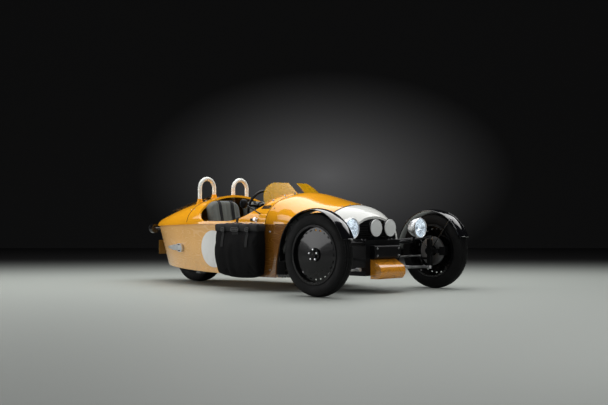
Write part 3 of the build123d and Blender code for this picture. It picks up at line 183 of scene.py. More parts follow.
def black_inside_and_painted_shade(tree):
    """Mask of the tub's inside, sprayed black, and of its front end and rear jack pads, painted black as
    shade.
    """
    along, across, up = put(tree, "SeparateXYZ", {0: put(tree, "TexCoord").outputs["Object"]}).outputs
    ahead, left, above = put(tree, "SeparateXYZ", {0: put(tree, "NewGeometry").outputs["Normal"]}).outputs
    wide = maths(tree, "ABSOLUTE", across)
    # The rear jack pads and the front end ahead of tub_front are painted black as shade.
    behind = put(tree, "Math", {0: along, 1: pad_x, 2: pad_reach}, operation="COMPARE").outputs[0]
    beside = put(tree, "Math", {0: wide, 1: pad_y, 2: pad_reach}, operation="COMPARE").outputs[0]
    pad_shade = maths(tree, "MULTIPLY", maths(tree, "MULTIPLY", behind, beside),
                 maths(tree, "LESS_THAN", up, pad_top))
    inward = maths(tree, "LESS_THAN", maths(tree, "MULTIPLY", left, across), -0.1)
    ends = maths(tree, "MULTIPLY", maths(tree, "GREATER_THAN", maths(tree, "ABSOLUTE", ahead), 0.5),
                 maths(tree, "GREATER_THAN", along, pad_x - 0.15))
    black = maths(tree, "GREATER_THAN", along, tub_front)
    for mask in (pad_shade, inward, ends, maths(tree, "GREATER_THAN", above, 0.5)):
        black = maths(tree, "MAXIMUM", black, mask)
    return black


def contoured(name, ground, line, strength, mask=None):
    """Lacquer over printed contour lines, black where a mask says so."""
    made, tree, shader = finish(name, {"Coat Weight": 0.8, "Coat Roughness": 0.05, "Coat IOR": 1.7,
                                       "Specular IOR Level": 0.1})
    colour = laid(tree, contours, {"Ground": ground, "Line": line, "Strength": strength})["Colour"]
    if mask is not None:
        colour = mix_colour(tree, mask(tree), colour, (0.004, 0.004, 0.005, 1))
    sprayed = laid(tree, lacquer_film, {"Colour": colour, "Amount": 0.35, "Gloss": 0.14})
    surfaced(tree, shader, sprayed, 0.0002, 0.25)
    return made


# The tub's pale ground is partly painted reflection of the pale floor on its flanks.
dress(contoured("tub_lacquer", (0.79, 0.43, 0.14, 1), (0.88, 0.56, 0.25, 1), 0.5, black_inside_and_painted_shade), "body_tub")

# Round white patches on both flanks, cut from film and left bare, and the small pan-head screws
# that hold the bonnet, the scuttle and the tail deck along their seams.
sides = (("left", 1), ("right", -1))


def surface(mesh):
    return BVHTree.FromPolygons([v.co for v in mesh.vertices], [p.vertices for p in mesh.polygons])


def landed(skin, start, way):
    """Spot and normal where a line meets a surface, the normal turned against the line."""
    way = Vector(way)
    spot, normal, _, _ = skin.ray_cast(Vector(start), way)
    if spot is None:
        return Vector(start), -way.normalized()
    return spot, normal if normal.dot(way) < 0 else -normal


def on_flank(skin, side, x, z):
    """Spot and normal where a level line from one side meets a surface."""
    return landed(skin, (x, side, z), (0, -side, 0))


def piece(name, form, material, body="chassis", crease=40.0):
    """Mesh object from points and faces, riding on one body."""
    mesh = bpy.data.meshes.new(name)
    mesh.from_pydata([tuple(point) for point in form[0]], [], form[1])
    tidy = bmesh.new()
    tidy.from_mesh(mesh)
    bmesh.ops.remove_doubles(tidy, verts=tidy.verts, dist=1e-6)
    bmesh.ops.recalc_face_normals(tidy, faces=tidy.faces)
    tidy.to_mesh(mesh)
    tidy.free()
    mesh.shade_smooth()
    mesh.set_sharp_from_angle(angle=radians(crease))
    mesh.materials.append(material)
    made = bpy.data.objects.new(name, mesh)
    scene.collection.objects.link(made)
    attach(made, body)
    return made


def together(parts):
    points, faces = [], []
    for some, rings in parts:
        shift = len(points)
        points += some
        faces += [[index + shift for index in ring] for ring in rings]
    return points, faces


def aimed(spot, way):
    """Place at a spot, its Z axis along a direction."""
    return Matrix.Translation(Vector(spot)) @ Vector(way).to_track_quat("Z", "Y").to_matrix().to_4x4()


def rings(count, steps, closed=False):
    """Faces between each ring of points and the next, and on to the first if closed."""
    faces = []
    for row in range(count if closed else count - 1):
        here, there = row * steps, (row + 1) % count * steps
        for step in range(steps):
            after = (step + 1) % steps
            faces.append([here + step, here + after, there + after, there + step])
    return faces


def turned(profile, place, steps=32):
    """Rows of (along, radius) turned about the Z axis of a place."""
    points = []
    for along, radius in profile:
        for step in range(steps):
            angle = 2 * pi * step / steps
            points.append(place @ Vector((radius * cos(angle), radius * sin(angle), along)))
    return points, rings(len(profile), steps)


def screw(spot, normal, radius):
    """Pan head with a hexagon socket, sunk a hair into its panel."""
    rows = [(-0.2, 1.0), (0.25, 1.0), (0.55, 0.82), (0.7, 0.52), (0.3, 0.46), (0.3, 0.0)]
    return turned([(along * radius, share * radius) for along, share in rows], aimed(spot, normal), 12)


white_film = lacquer("white_film", (0.78, 0.78, 0.76, 1), 0.5, 0.2, 0.5)
tub = surface(nodes["body_tub"].data)
patch_x, patch_z, patch_r = axle_x - 1.722, 0.382, 0.187
patch_rings, patch_steps = 12, 72
for name, side in sides:
    points = []
    for ring in range(patch_rings + 1):
        for step in range(patch_steps):
            angle = 2 * pi * step / patch_steps
            reach = patch_r * ring / patch_rings
            spot, normal = on_flank(tub, side, patch_x + reach * cos(angle), patch_z + reach * sin(angle))
            points.append(spot + normal * (0.0012 if ring < patch_rings else 0.0002))
    piece("flank_patch_" + name, (points, rings(patch_rings + 1, patch_steps)), white_film)

steel_head, tree, shader = finish("steel_head", {"Metallic": 1.0, "Base Color": (0.42, 0.42, 0.43, 1)})
where = put(tree, "TexCoord").outputs["Object"]
swirl = put(tree, "TexNoise", {"Vector": where, "Scale": 500.0, "Detail": 2.0}).outputs[0]
tree.links.new(ramp(tree, swirl, 0.3, 0.7, 0.2, 0.42), shader.inputs["Roughness"])
raised(tree, shader, swirl, 0.0001, 0.3)
# Seam rows: (panel, distance behind the front axle, angles from the crown in degrees)
seam_rows = (("bonnet", 0.300, (18, 40, 62)), ("bonnet", 0.912, (20, 44, 66)),
             ("cockpit_surround", 0.966, (20, 44, 66)), ("cockpit_surround", 2.098, (24, 46, 66)),
             ("tail_deck", 2.162, (40, 66)))
heads = []
for panel, behind, angles in seam_rows:
    skin = surface(nodes[panel].data)
    for angle in angles:
        for _, side in sides:
            lean = radians(angle)
            spot, normal = landed(skin, (axle_x - behind, side * 1.4 * sin(lean), 0.6 + 1.2 * cos(lean)),
                                  (0, -side * 1.4 * sin(lean), -1.2 * cos(lean)))
            heads.append(screw(spot, normal, 0.0065))
piece("panel_screws", together(heads), steel_head)

# A black rubber welt lies in each seam between two panels, round the nose, the scuttle and the deck.
welt_black, tree, shader = finish("welt_black", {"Base Color": (0.004, 0.004, 0.004, 1),
                                                 "Specular IOR Level": 0.2})
where = put(tree, "TexCoord").outputs["Object"]
chalk = put(tree, "TexNoise", {"Vector": where, "Scale": 60.0, "Detail": 3.0}).outputs[0]
tree.links.new(ramp(tree, chalk, 0.3, 0.7, 0.45, 0.7), shader.inputs["Roughness"])


def bar(path, radius, steps=10, closed=False):
    """Round bar along a path of points."""
    path = [Vector(point) for point in path]
    count = len(path)
    points, normal = [], None
    for index, spot in enumerate(path):
        before = path[index - 1] if index or closed else spot
        after = path[(index + 1) % count] if index < count - 1 or closed else spot
        way = (after - before).normalized()
        normal = way.orthogonal() if normal is None else normal
        normal = (normal - way * normal.dot(way)).normalized()
        beside = way.cross(normal)
        for step in range(steps):
            angle = 2 * pi * step / steps
            points.append(spot + radius * (cos(angle) * normal + sin(angle) * beside))
    faces = rings(count, steps, closed)
    if not closed:
        faces += [list(range(steps)), list(range((count - 1) * steps, count * steps))]
    return points, faces


# Welt rows: (panel, its edge behind the front axle, middle of the seam, lowest angle from the crown, radius)
welt_rows = (("bonnet", 0.276, 0.272, 86, 0.0042), ("bonnet", 0.936, 0.940, 88, 0.0028),
             ("cockpit_surround", 2.126, 2.130, 84, 0.0028))
welts = []
for panel, behind, seam, most, radius in welt_rows:
    skin = surface(nodes[panel].data)
    path = []
    for step in range(61):
        lean = radians(most * (step / 30 - 1))
        out = Vector((0, 1.4 * sin(lean), 1.2 * cos(lean)))
        spot, normal = landed(skin, Vector((axle_x - behind, 0, 0.6)) + out, -out)
        if (spot.yz - Vector((0, 0.6))).length < 1.1:
            path.append((axle_x - seam, spot.y, spot.z))
    welts.append(bar(path, radius, 8))
piece("panel_welts", together(welts), welt_black)

# The nose cone and the two roll hoops are steel, sprayed white; the hoops are bent tube, and each
# leg stands in a yellow collar screwed to the tail deck.
dress(lacquer("white_lacquer", (0.74, 0.745, 0.71, 1), 0.2), "nose_cone")
dress(lacquer("hoop_white", (0.83, 0.845, 0.79, 1), 0.2), "roll_hoops")
deck = surface(nodes["tail_deck"].data)
hoop_x = (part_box("roll_hoops")[0][0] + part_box("roll_hoops")[1][0]) / 2
hoop_y, hoop_half, hoop_r = 0.238, 0.100, 0.021
collar = [(-0.012, hoop_r + 0.0005), (-0.012, hoop_r + 0.017), (0.008, hoop_r + 0.015),
          (0.030, hoop_r + 0.006), (0.048, hoop_r + 0.004), (0.050, hoop_r + 0.0005)]
collars = []
for _, side in sides:
    for leg in (-hoop_half, hoop_half):
        spot, _ = landed(deck, (hoop_x - hoop_r - 0.006, side * hoop_y + leg, 1.2), (0, 0, -1))
        collars.append(turned(collar, aimed((hoop_x, side * hoop_y + leg, spot.z), (0, 0, 1)), 28))
piece("hoop_collars", together(collars), yellow_lacquer)

# The side blades and the chin guard are single bent sheets; the blades' dark brown is painted shade, darker
# than the body where they stand in its shade. The same printed contour lines run over them, stronger than on
# the tub; four screws hold each blade.
# Painted shade: the blades' brown ground and lines are darkened for the shade they stand in.
blade_shade_brown, blade_shade_line = (0.17, 0.060, 0.004, 1), (0.34, 0.155, 0.03, 1)
dress(contoured("blade_lacquer", blade_shade_brown, blade_shade_line, 0.55), "side_blades")
dress(contoured("chin_lacquer", (0.76, 0.30, 0.018, 1), (0.36, 0.125, 0.008, 1), 0.5), "chin_guard")


def arc_through(first, middle, last, count):
    """Evenly spaced points on the circle through three points of a plane."""
    (ax, ay), (bx, by), (cx, cy) = first, middle, last
    scale = 2 * (ax * (by - cy) + bx * (cy - ay) + cx * (ay - by))
    a, b, c = ax * ax + ay * ay, bx * bx + by * by, cx * cx + cy * cy
    centre = Vector(((a * (by - cy) + b * (cy - ay) + c * (ay - by)) / scale,
                     (a * (cx - bx) + b * (ax - cx) + c * (bx - ax)) / scale))
    start, end = Vector(first) - centre, Vector(last) - centre
    turn = start.angle_signed(end)
    if start.angle_signed(Vector(middle) - centre) * turn < 0:
        turn = turn - 2 * pi if turn > 0 else turn + 2 * pi
    spots = []
    for step in range(count):
        angle = -turn * step / (count - 1)
        spots.append(centre + Vector((start.x * cos(angle) - start.y * sin(angle),
                                      start.x * sin(angle) + start.y * cos(angle))))
    return spots


chin_low, chin_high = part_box("chin_guard")
brow = chin_high[0] - 0.042
curve = arc_through((brow, 0.266), (chin_high[0] - 0.002, 0.200), (brow, 0.134), 12)
profile = [(chin_low[0], 0.134), (chin_low[0], 0.311)] + [(spot.x, spot.y) for spot in curve]
ends = []
for _, side in sides:
    count = len(profile)
    points = [Vector((x, side * (chin_high[1] - inset), z)) for inset in (0.001, 0.004) for x, z in profile]
    ends.append((points, [list(range(count)), list(range(count, 2 * count))] + rings(2, count)))
piece("chin_ends", together(ends), nodes["chin_guard"].data.materials[0])
heads = []
blade_skin = surface(nodes["side_blades"].data)
for _, side in sides:
    for behind in (0.820, 1.290):
        for z in (0.202, 0.562):
            spot, normal = on_flank(blade_skin, side, axle_x - behind, z)
            heads.append(screw(spot, normal, 0.010))
piece("blade_screws", together(heads), steel_head)

# The front casting, the tray, the swing arm and the uprights are aluminium castings with a satin
# black coat, rubbed thin along their edges; tunnel, column and rack share the coat. Hexagon bolts
# close the box nose and the lid.
cast_skin, skin_in, skin_out = effect(
    "cast_skin", [("Colour", "Color", (0.02, 0.02, 0.02, 1)), ("Bare", "Color", (0.3, 0.3, 0.3, 1)),
                  ("Rub", "Float", 0.4), ("Scale", "Float", 160.0)],
    [("Colour", "Color"), ("Height", "Float"), ("Roughness", "Float")])
where = put(cast_skin, "TexCoord").outputs["Object"]
sand = put(cast_skin, "TexNoise", {"Vector": where, "Scale": skin_in.outputs["Scale"],
                                   "Detail": 3.0}).outputs[0]
cloud = put(cast_skin, "TexNoise", {"Vector": where, "Scale": 9.0, "Detail": 4.0}).outputs[0]
rounded = put(cast_skin, "Bevel", {"Radius": 0.004}, samples=4).outputs[0]
face = put(cast_skin, "NewGeometry").outputs["Normal"]
turn = put(cast_skin, "VectorMath", {0: rounded, 1: face}, operation="DOT_PRODUCT").outputs["Value"]
edge = ramp(cast_skin, turn, 0.995, 0.86)
worn = maths(cast_skin, "MULTIPLY", maths(cast_skin, "MULTIPLY", edge, cloud), skin_in.outputs["Rub"])
toned = scaled(cast_skin, skin_in.outputs["Colour"], ramp(cast_skin, cloud, 0.3, 0.7, 0.75, 1.3))
cast_skin.links.new(mix_colour(cast_skin, worn, toned, skin_in.outputs["Bare"]), skin_out.inputs["Colour"])
cast_skin.links.new(sand, skin_out.inputs["Height"])
cast_skin.links.new(ramp(cast_skin, cloud, 0.0, 1.0, 0.32, 0.55), skin_out.inputs["Roughness"])


def coated(name, colour, bare, rub, metal, scale=160.0, relief=0.0004, shine=0.3):
    made, tree, shader = finish(name, {"Metallic": metal, "Specular IOR Level": shine})
    skin = laid(tree, cast_skin, {"Colour": colour, "Bare": bare, "Rub": rub, "Scale": scale})
    surfaced(tree, shader, skin, relief, 0.4)
    return made


satin_black = coated("satin_black", (0.0045, 0.0045, 0.005, 1), (0.08, 0.08, 0.085, 1), 0.4, 0.0, shine=0.12)
dress(satin_black, "front_casting", "bonnet_tray", "swing_arm", "upright_left", "upright_right", "tunnel",
      "steering_column", "luggage_rack")


def hexagon(spot, way, across, high):
    """Bolt head with a washer under it."""
    washer = [(0.0, 0.0), (0.0, across * 0.8), (across * 0.12, across * 0.8), (across * 0.12, across * 0.5)]
    head = [(across * 0.1, 0.56 * across), (high * 0.85, 0.56 * across), (high, 0.46 * across), (high, 0.0)]
    place = aimed(spot, way)
    return together([turned(washer, place, 20), turned(head, place, 6)])


bolts = []
for y in (-0.155, 0.155):
    for z in (0.345, 0.412):
        bolts.append(hexagon((axle_x + 0.095, y, z), (1, 0, 0), 0.014, 0.009))
for y in (-0.22, -0.17, 0.17, 0.22):
    bolts.append(hexagon((axle_x - 0.040, y, 0.490), (0, 0, 1), 0.012, 0.008))
piece("casting_bolts", together(bolts), steel_head)

# The engine is one cast block behind the grille. The grille is a black pressed panel; the radiators behind
# the blades are finned cores, the gaps between their fins painted darker as shade.
engine_casting = coated("engine_casting", (0.13, 0.13, 0.135, 1), (0.4, 0.4, 0.4, 1), 0.6, 0.8, 90.0, 0.0008)
dress(engine_casting, "engine_block")
grille_black = coated("grille_black", (0.006, 0.006, 0.007, 1), (0.08, 0.08, 0.08, 1), 0.3, 0.0)
dress(grille_black, "grille")
finned, tree, shader = finish("finned_core", {"Metallic": 0.6, "Roughness": 0.5})
where = put(tree, "TexCoord").outputs["Object"]
fins_and_gap_shade = put(tree, "TexWave", {"Vector": where, "Scale": 90.0, "Distortion": 0.4},
           bands_direction="Z").outputs[1]
# Painted shade: the raised fins are a lighter grey, the gaps between them darker.
tree.links.new(mix_colour(tree, fins_and_gap_shade, (0.004, 0.004, 0.004, 1), (0.045, 0.045, 0.047, 1)),
               shader.inputs["Base Color"])
raised(tree, shader, fins_and_gap_shade, 0.002, 0.8)
dress(finned, "radiators")

# Lower wishbones, tie rods, brake discs, pedals and the gear lever are bare steel with a fine ground
# finish. The upper wishbones are painted black.
bare_steel = coated("bare_steel", (0.52, 0.52, 0.53, 1), (0.7, 0.7, 0.7, 1), 0.4, 1.0, 420.0, 0.0001)
dress(bare_steel, "tie_rods", "brake_disc_left", "brake_disc_right", "pedals", "gear_lever")
arm_steel, tree, shader = finish("arm_steel", {})
where = put(tree, "TexCoord").outputs["Object"]
bright = maths(tree, "LESS_THAN", put(tree, "SeparateXYZ", {0: where}).outputs[2], 0.33)
mixed = mix_colour(tree, bright, (0.012, 0.012, 0.013, 1), (0.55, 0.55, 0.56, 1))
skin = laid(tree, cast_skin, {"Colour": mixed, "Bare": (0.3, 0.3, 0.3, 1), "Rub": 0.3, "Scale": 300.0})
surfaced(tree, shader, skin, 0.0001, 0.3)
tree.links.new(bright, shader.inputs["Metallic"])
dress(arm_steel, "wishbones_left", "wishbones_right")

# Mudguards are rolled sheet with a wired edge, sprayed gloss black like the disc wheels. The wire
# runs right round each guard, and two screws hold it to each stay.
black_lacquer = lacquer("black_lacquer", (0.004, 0.004, 0.005, 1), 0.1, 0.12, 1.0)
dress(black_lacquer, "mudguard_left", "mudguard_right", "spot_lamps", "mirrors", "tail_lamps")
wheel_black = lacquer("wheel_black", (0.003, 0.003, 0.0035, 1), 0.05, 0.2, 0.2)
dress(wheel_black, "front_wheel_left", "front_wheel_right", "rear_wheel")
wheel_y, tyre_z = 0.850, 0.371
guard_x, guard_z = axle_x - 0.020, tyre_z + 0.005
guard_r, guard_edge, guard_half = 0.405, 0.392, 0.075
guard_span = (20.0, 190.0)
for name, side in sides:
    def on_guard(angle, share):
        """Spot on the middle of the sheet, at a share of its half width."""
        reach = guard_r + (guard_edge - guard_r) * share * share - 0.0025
        return Vector((guard_x + reach * cos(radians(angle)), side * wheel_y + share * guard_half,
                       guard_z + reach * sin(radians(angle))))

    first, last = guard_span
    sweep = [first + (last - first) * step / 60 for step in range(61)]
    across = [step / 6 for step in range(-6, 7)]
    path = [on_guard(angle, 1) for angle in sweep] + [on_guard(last, share) for share in across[-2:0:-1]]
    path += [on_guard(angle, -1) for angle in reversed(sweep)]
    path += [on_guard(first, share) for share in across[1:-1]]
    piece("guard_wire_" + name, bar(path, 0.0042, 8, True), black_lacquer, "knuckle_" + name)
    heads = []
    for angle in (47.0, 53.0, 135.0, 141.0):
        spot = on_guard(angle, -side * 0.86)
        out = Vector((cos(radians(angle)), -side * 0.3, sin(radians(angle))))
        heads.append(screw(spot + out.normalized() * 0.0026, out, 0.006))
    piece("guard_screws_" + name, together(heads), steel_head, "knuckle_" + name)

# Tyres: black rubber with ribbed side walls, three tread ribs and cut shoulder blocks, moulded in one; a
# little dry road dust lies on them in patches.
rubber, tree, shader = finish("tyre_rubber", {"Specular IOR Level": 0.14})
skin = laid(tree, cast_skin, {"Colour": (0.0045, 0.0045, 0.0048, 1), "Bare": (0.014, 0.014, 0.014, 1),
                              "Rub": 0.5, "Scale": 240.0})
where = put(tree, "TexCoord").outputs["Object"]
dust = put(tree, "TexNoise", {"Vector": where, "Scale": 14.0, "Detail": 6.0}).outputs[0]
dusty = mix_colour(tree, ramp(tree, dust, 0.55, 0.9, 0.0, 0.2), skin["Colour"], (0.03, 0.027, 0.024, 1))
tree.links.new(dusty, shader.inputs["Base Color"])
tree.links.new(ramp(tree, dust, 0.3, 0.7, 0.55, 0.75), shader.inputs["Roughness"])
raised(tree, shader, skin["Height"], 0.0004, 0.3)
# Tread rows: (share of the half tread, groove depth share)
tread_half = ((0.13, 0.0), (0.15, 1.0), (0.24, 1.0), (0.26, 0.0), (0.58, 0.0), (0.60, 1.0), (0.69, 1.0),
              (0.71, 0.0))
tread_rows = [(-share, deep) for share, deep in reversed(tread_half)] + list(tread_half)


def road_tyre(name, body, rim, bead, blocks):
    """Tyre of the CAD node's size: (y, radius, groove, cut) rows turned about the axle in blocks."""
    lowest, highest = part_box(name)
    centre = [(lowest[axis] + highest[axis]) / 2 for axis in range(3)]
    radius, width = (highest[2] - lowest[2]) / 2, highest[1] - lowest[1]
    shoulder, crown = 0.41 * width, radius * (1 - 0.035)
    wall = arc_through((bead, rim), (width / 2, rim + 0.55 * (radius - rim)), (shoulder, crown), 15)
    bend = (radius - crown) / shoulder ** 2
    rows = []
    for index, spot in enumerate(wall):
        rib = 0.0009 if index % 3 == 1 and 2 < index < 12 else 0.0
        rows.append((-spot.x - rib, spot.y, 0.0, 0.9 if index == 14 else 0.35 if index == 13 else 0.0))
    for share, deep in tread_rows:
        y = share * shoulder
        rows.append((y, radius - bend * y ** 2, deep, 1.0 if abs(share) > 0.7 else 0.3))
    rows += [(-y, reach, deep, cut) for y, reach, deep, cut in reversed(rows[:15])]
    groove = 0.007
    points = []
    turns = [(block, share) for block in range(blocks) for share in (0.0, 0.09, 0.12, 0.97)]
    for block, share in turns:
        for y, reach, deep, cut in rows:
            angle = 2 * pi * (block + share + 0.5 * abs(y) / shoulder) / blocks
            reach -= groove * max(deep, cut if share < 0.1 else 0.0)
            points.append(Vector((centre[0] + reach * sin(angle), centre[1] + y,
                                  centre[2] + reach * cos(angle))))
    made = piece(name + "_tread", (points, rings(len(turns), len(rows), True)), rubber, body, 28.0)
    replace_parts(made, name)


for name, _ in sides:
    road_tyre("front_tyre_" + name, "wheel_" + name, 0.254, 0.050, 60)
road_tyre("rear_tyre", "wheel_rear", 0.190, 0.078, 52)

# Each front wheel is held by five steel nuts round a turned black hub cap, and has a rubber valve
# low on its disc.
chrome = coated("chrome", (0.80, 0.81, 0.83, 1), (0.85, 0.85, 0.85, 1), 0.1, 1.0, 60.0, 0.00002)
cap_rows = [(0.059, 0.0), (0.059, 0.037), (0.067, 0.037), (0.0695, 0.0345), (0.068, 0.0305), (0.064, 0.028),
            (0.064, 0.021), (0.070, 0.017), (0.0755, 0.009), (0.0765, 0.0)]
nut_rows = [(0.058, 0.0), (0.058, 0.0118), (0.071, 0.0118), (0.0745, 0.0085), (0.0755, 0.0)]
for name, side in sides:
    hub = Vector((axle_x, side * wheel_y, tyre_z))
    out = Vector((0, side, 0))
    piece("hub_cap_" + name, turned(cap_rows, aimed(hub, out), 40), wheel_black, "wheel_" + name)
    nuts = []
    for step in range(5):
        angle = 2 * pi * step / 5
        nuts.append(turned(nut_rows, aimed(hub + 0.047 * Vector((sin(angle), 0, cos(angle))), out), 6))
    piece("wheel_nuts_" + name, together(nuts), steel_head, "wheel_" + name)
    foot = hub + Vector((0.0, side * 0.036, -0.226))
    valve = [(-0.004, 0.0), (-0.004, 0.006), (0.008, 0.006), (0.011, 0.0035), (0.022, 0.0032), (0.024, 0.0)]
    piece("valve_" + name, turned(valve, aimed(foot, (0, side, 0.35)), 14), rubber, "wheel_" + name)

# Headlamps: spun bowls with a rolled bezel, chromed; inside, a bright faceted reflector with a bulb shield,
# closed by a domed and fluted glass. The reflector's soft glow and the varied brightness of its facets are
# painted reflection, the glow stronger towards its top. Each stands on a black tube bent out of the front
# casting.
lamp_glass, tree, shader = finish("lamp_glass", {"Base Color": (0.80, 0.90, 1.0, 1), "Alpha": 0.16,
                                                 "Coat Weight": 1.0, "Coat Roughness": 0.03})
where = put(tree, "TexCoord").outputs["Object"]
flutes = put(tree, "TexWave", {"Vector": where, "Scale": 16.0}, bands_direction="Y").outputs[1]
tree.links.new(ramp(tree, flutes, 0.0, 1.0, 0.04, 0.12), shader.inputs["Roughness"])
raised(tree, shader, flutes, 0.002, 0.5)
mirrored, tree, shader = finish("lamp_reflector", {"Metallic": 1.0, "Roughness": 0.12,
                                                   "Emission Strength": 0.75})
where = put(tree, "TexCoord").outputs["Object"]
facet = put(tree, "TexVoronoi", {"Vector": where, "Scale": 55.0}).outputs
facet_glint = put(tree, "SeparateXYZ", {0: facet["Color"]}).outputs[0]
height = put(tree, "SeparateXYZ", {0: where}).outputs[2]
# Painted reflection: a soft glow, stronger towards the top, and facets of varied brightness.
glow = maths(tree, "MULTIPLY", ramp(tree, facet_glint, 0.0, 1.0, 0.35, 1.15),
             ramp(tree, height, 0.55, 0.62, 0.35, 1.0))
tree.links.new(scaled(tree, (0.78, 0.90, 1.0), glow), shader.inputs["Emission Color"])
tree.links.new(scaled(tree, (0.85, 0.90, 0.95), ramp(tree, facet_glint, 0.0, 1.0, 0.6, 1.0)),
               shader.inputs["Base Color"])
raised(tree, shader, facet["Distance"], 0.004, 0.7)
lamp_r, lamp_deep = 0.093, 0.150
bowl = [(spot.x, spot.y) for spot in arc_through((-lamp_deep, 0.0), (-0.72 * lamp_deep, 0.66 * lamp_r),
                                                 (-0.016, lamp_r), 14)]
bezel = [(-0.014, 0.0955), (-0.010, 0.0975), (-0.004, 0.0975), (0.0005, 0.0945), (0.0015, 0.0905),
         (-0.002, 0.0872)]
reflector = [(-0.012, 0.0850), (-0.030, 0.0770), (-0.050, 0.0650), (-0.070, 0.0470), (-0.084, 0.0240),
             (-0.088, 0.0)]
shield = [(-0.090, 0.004), (-0.060, 0.004), (-0.058, 0.016), (-0.050, 0.0175), (-0.042, 0.013), (-0.040, 0.0)]
dome = [(-0.005, 0.0), (-0.005, 0.0868), (0.001, 0.0800), (0.0065, 0.0600), (0.0100, 0.0320), (0.0110, 0.0)]
bowls, bright, lenses, arms = [], [], [], []
lamp_spot = Vector((axle_x + 0.093, 0.500, 0.598))
arm_bend, arm_r = 0.05, 0.013
for _, side in sides:
    spot = Vector((lamp_spot.x, side * lamp_spot.y, lamp_spot.z))
    place = aimed(spot, (1, 0, 0))
    bowls += [turned(bowl + bezel + reflector[:1], place, 48), turned(shield, place, 20)]
    bright.append(turned(reflector, place, 48))
    lenses.append(turned(dome, place, 48))
    post = Vector((axle_x + 0.010, side * lamp_spot.y, 0.462))
    path = [post - Vector((0, side * inward, 0)) for inward in (0.262, 0.14, arm_bend)]
    for lean in (radians(20), radians(45), radians(70)):
        path.append(post + Vector((0, -side * arm_bend * (1 - sin(lean)), arm_bend * (1 - cos(lean)))))
    path += [post + Vector((0, 0, arm_bend)), post + Vector((0, 0, 0.080))]
    arms.append(bar(path, arm_r, 14))
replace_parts(piece("headlamp_shells", together(bowls), chrome), "headlamp_bowls")
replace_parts(piece("headlamp_glass", together(lenses), lamp_glass), "headlamp_lenses")
piece("headlamp_reflectors", together(bright), mirrored)
piece("headlamp_arms", together(arms), satin_black)

# Spot lamps stand on the lid behind blank white moulded covers, each held by a black rubber band.
cover_white = lacquer("cover_white", (0.72, 0.73, 0.72, 1), 0.1, 0.28, 0.3)
cover_rows = [(-0.004, 0.0), (-0.004, 0.0802), (0.004, 0.0802), (0.0075, 0.0785), (0.0085, 0.0735),
              (0.0072, 0.0690), (0.0105, 0.0560), (0.0130, 0.0300), (0.0140, 0.0)]
band_rows = [(-0.016, 0.0800), (-0.015, 0.0825), (-0.006, 0.0835), (-0.001, 0.0828), (0.000, 0.0800)]
covers, bands = [], []
for _, side in sides:
    place = aimed((axle_x + 0.035, side * 0.102, 0.601), (1, 0, 0))
    covers.append(turned(cover_rows, place, 44))
    bands.append(turned(band_rows, place, 44))
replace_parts(piece("spot_covers", together(covers), cover_white), "spot_lamp_covers")
piece("spot_bands", together(bands), rubber)

# The two screens are bent amber acrylic, polished at the edges, each clamped to the scuttle by three
# steel bolts on washers.
amber, tree, shader = finish("amber_acrylic", {"Transmission Weight": 0.7, "IOR": 1.15, "Coat Weight": 0.15,
                                               "Coat Roughness": 0.05, "Specular IOR Level": 0.15})
where = put(tree, "TexCoord").outputs["Object"]
streak = put(tree, "TexNoise", {"Vector": where, "Scale": 6.0, "Detail": 5.0}).outputs[0]
tree.links.new(mix_colour(tree, streak, (0.84, 0.47, 0.010, 1), (0.92, 0.56, 0.020, 1)),
               shader.inputs["Base Color"])
tree.links.new(ramp(tree, streak, 0.3, 0.7, 0.05, 0.11), shader.inputs["Roughness"])
dress(amber, "aero_screens")
scuttle = surface(nodes["cockpit_surround"].data)
clamps = []
for y, behind in ((0.11, 1.004), (0.25, 1.008), (0.39, 1.026)):
    for _, side in sides:
        spot, normal = landed(scuttle, (axle_x - behind, side * y, 1.3), (0, 0, -1))
        clamps.append(hexagon(spot, normal, 0.016, 0.012))
piece("screen_clamps", together(clamps), steel_head)

# Seats: foam in a water resistant grey-green cover, sewn down along straight channels, with rounded
# shoulders. The covers are blown up by cloth pressure between their seams.
weave, weave_in, weave_out = effect(
    "weave",
    [("Colour", "Color", (0.1, 0.1, 0.1, 1)), ("Fade", "Color", (0.2, 0.2, 0.2, 1)),
     ("Scale", "Float", 900.0)],
    [("Colour", "Color"), ("Height", "Float"), ("Roughness", "Float")])
where = put(weave, "TexCoord").outputs["Object"]
threads = [put(weave, "TexWave", {"Vector": where, "Scale": weave_in.outputs["Scale"], "Distortion": 0.6},
               bands_direction=way).outputs[1] for way in ("DIAGONAL", "Z")]
wear = put(weave, "TexNoise", {"Vector": where, "Scale": 5.0, "Detail": 6.0, "Roughness": 0.65}).outputs[0]
faded = ramp(weave, wear, 0.45, 0.8)
weave.links.new(mix_colour(weave, faded, weave_in.outputs["Colour"], weave_in.outputs["Fade"]),
                weave_out.inputs["Colour"])
weave.links.new(maths(weave, "MULTIPLY", *threads), weave_out.inputs["Height"])
weave.links.new(ramp(weave, wear, 0.3, 0.7, 0.6, 0.85), weave_out.inputs["Roughness"])


def cloth_of(name, colour, fade, scale, relief, shine=0.08):
    made, tree, shader = finish(name, {"Sheen Weight": 0.01, "Specular IOR Level": shine})
    woven = laid(tree, weave, {"Colour": colour, "Fade": fade, "Scale": scale})
    surfaced(tree, shader, woven, relief, 0.4)
    return made


seat_cover = cloth_of("seat_cover", (0.145, 0.152, 0.138, 1), (0.185, 0.192, 0.174, 1), 420.0, 0.0005)
cloth_grain, cloth_frames = 0.011, 20


def baked(made):
    """The object's mesh with its modifiers worked in."""
    graph = bpy.context.evaluated_depsgraph_get()
    mesh = bpy.data.meshes.new_from_object(made.evaluated_get(graph))
    made.modifiers.clear()
    made.data = mesh
    return mesh


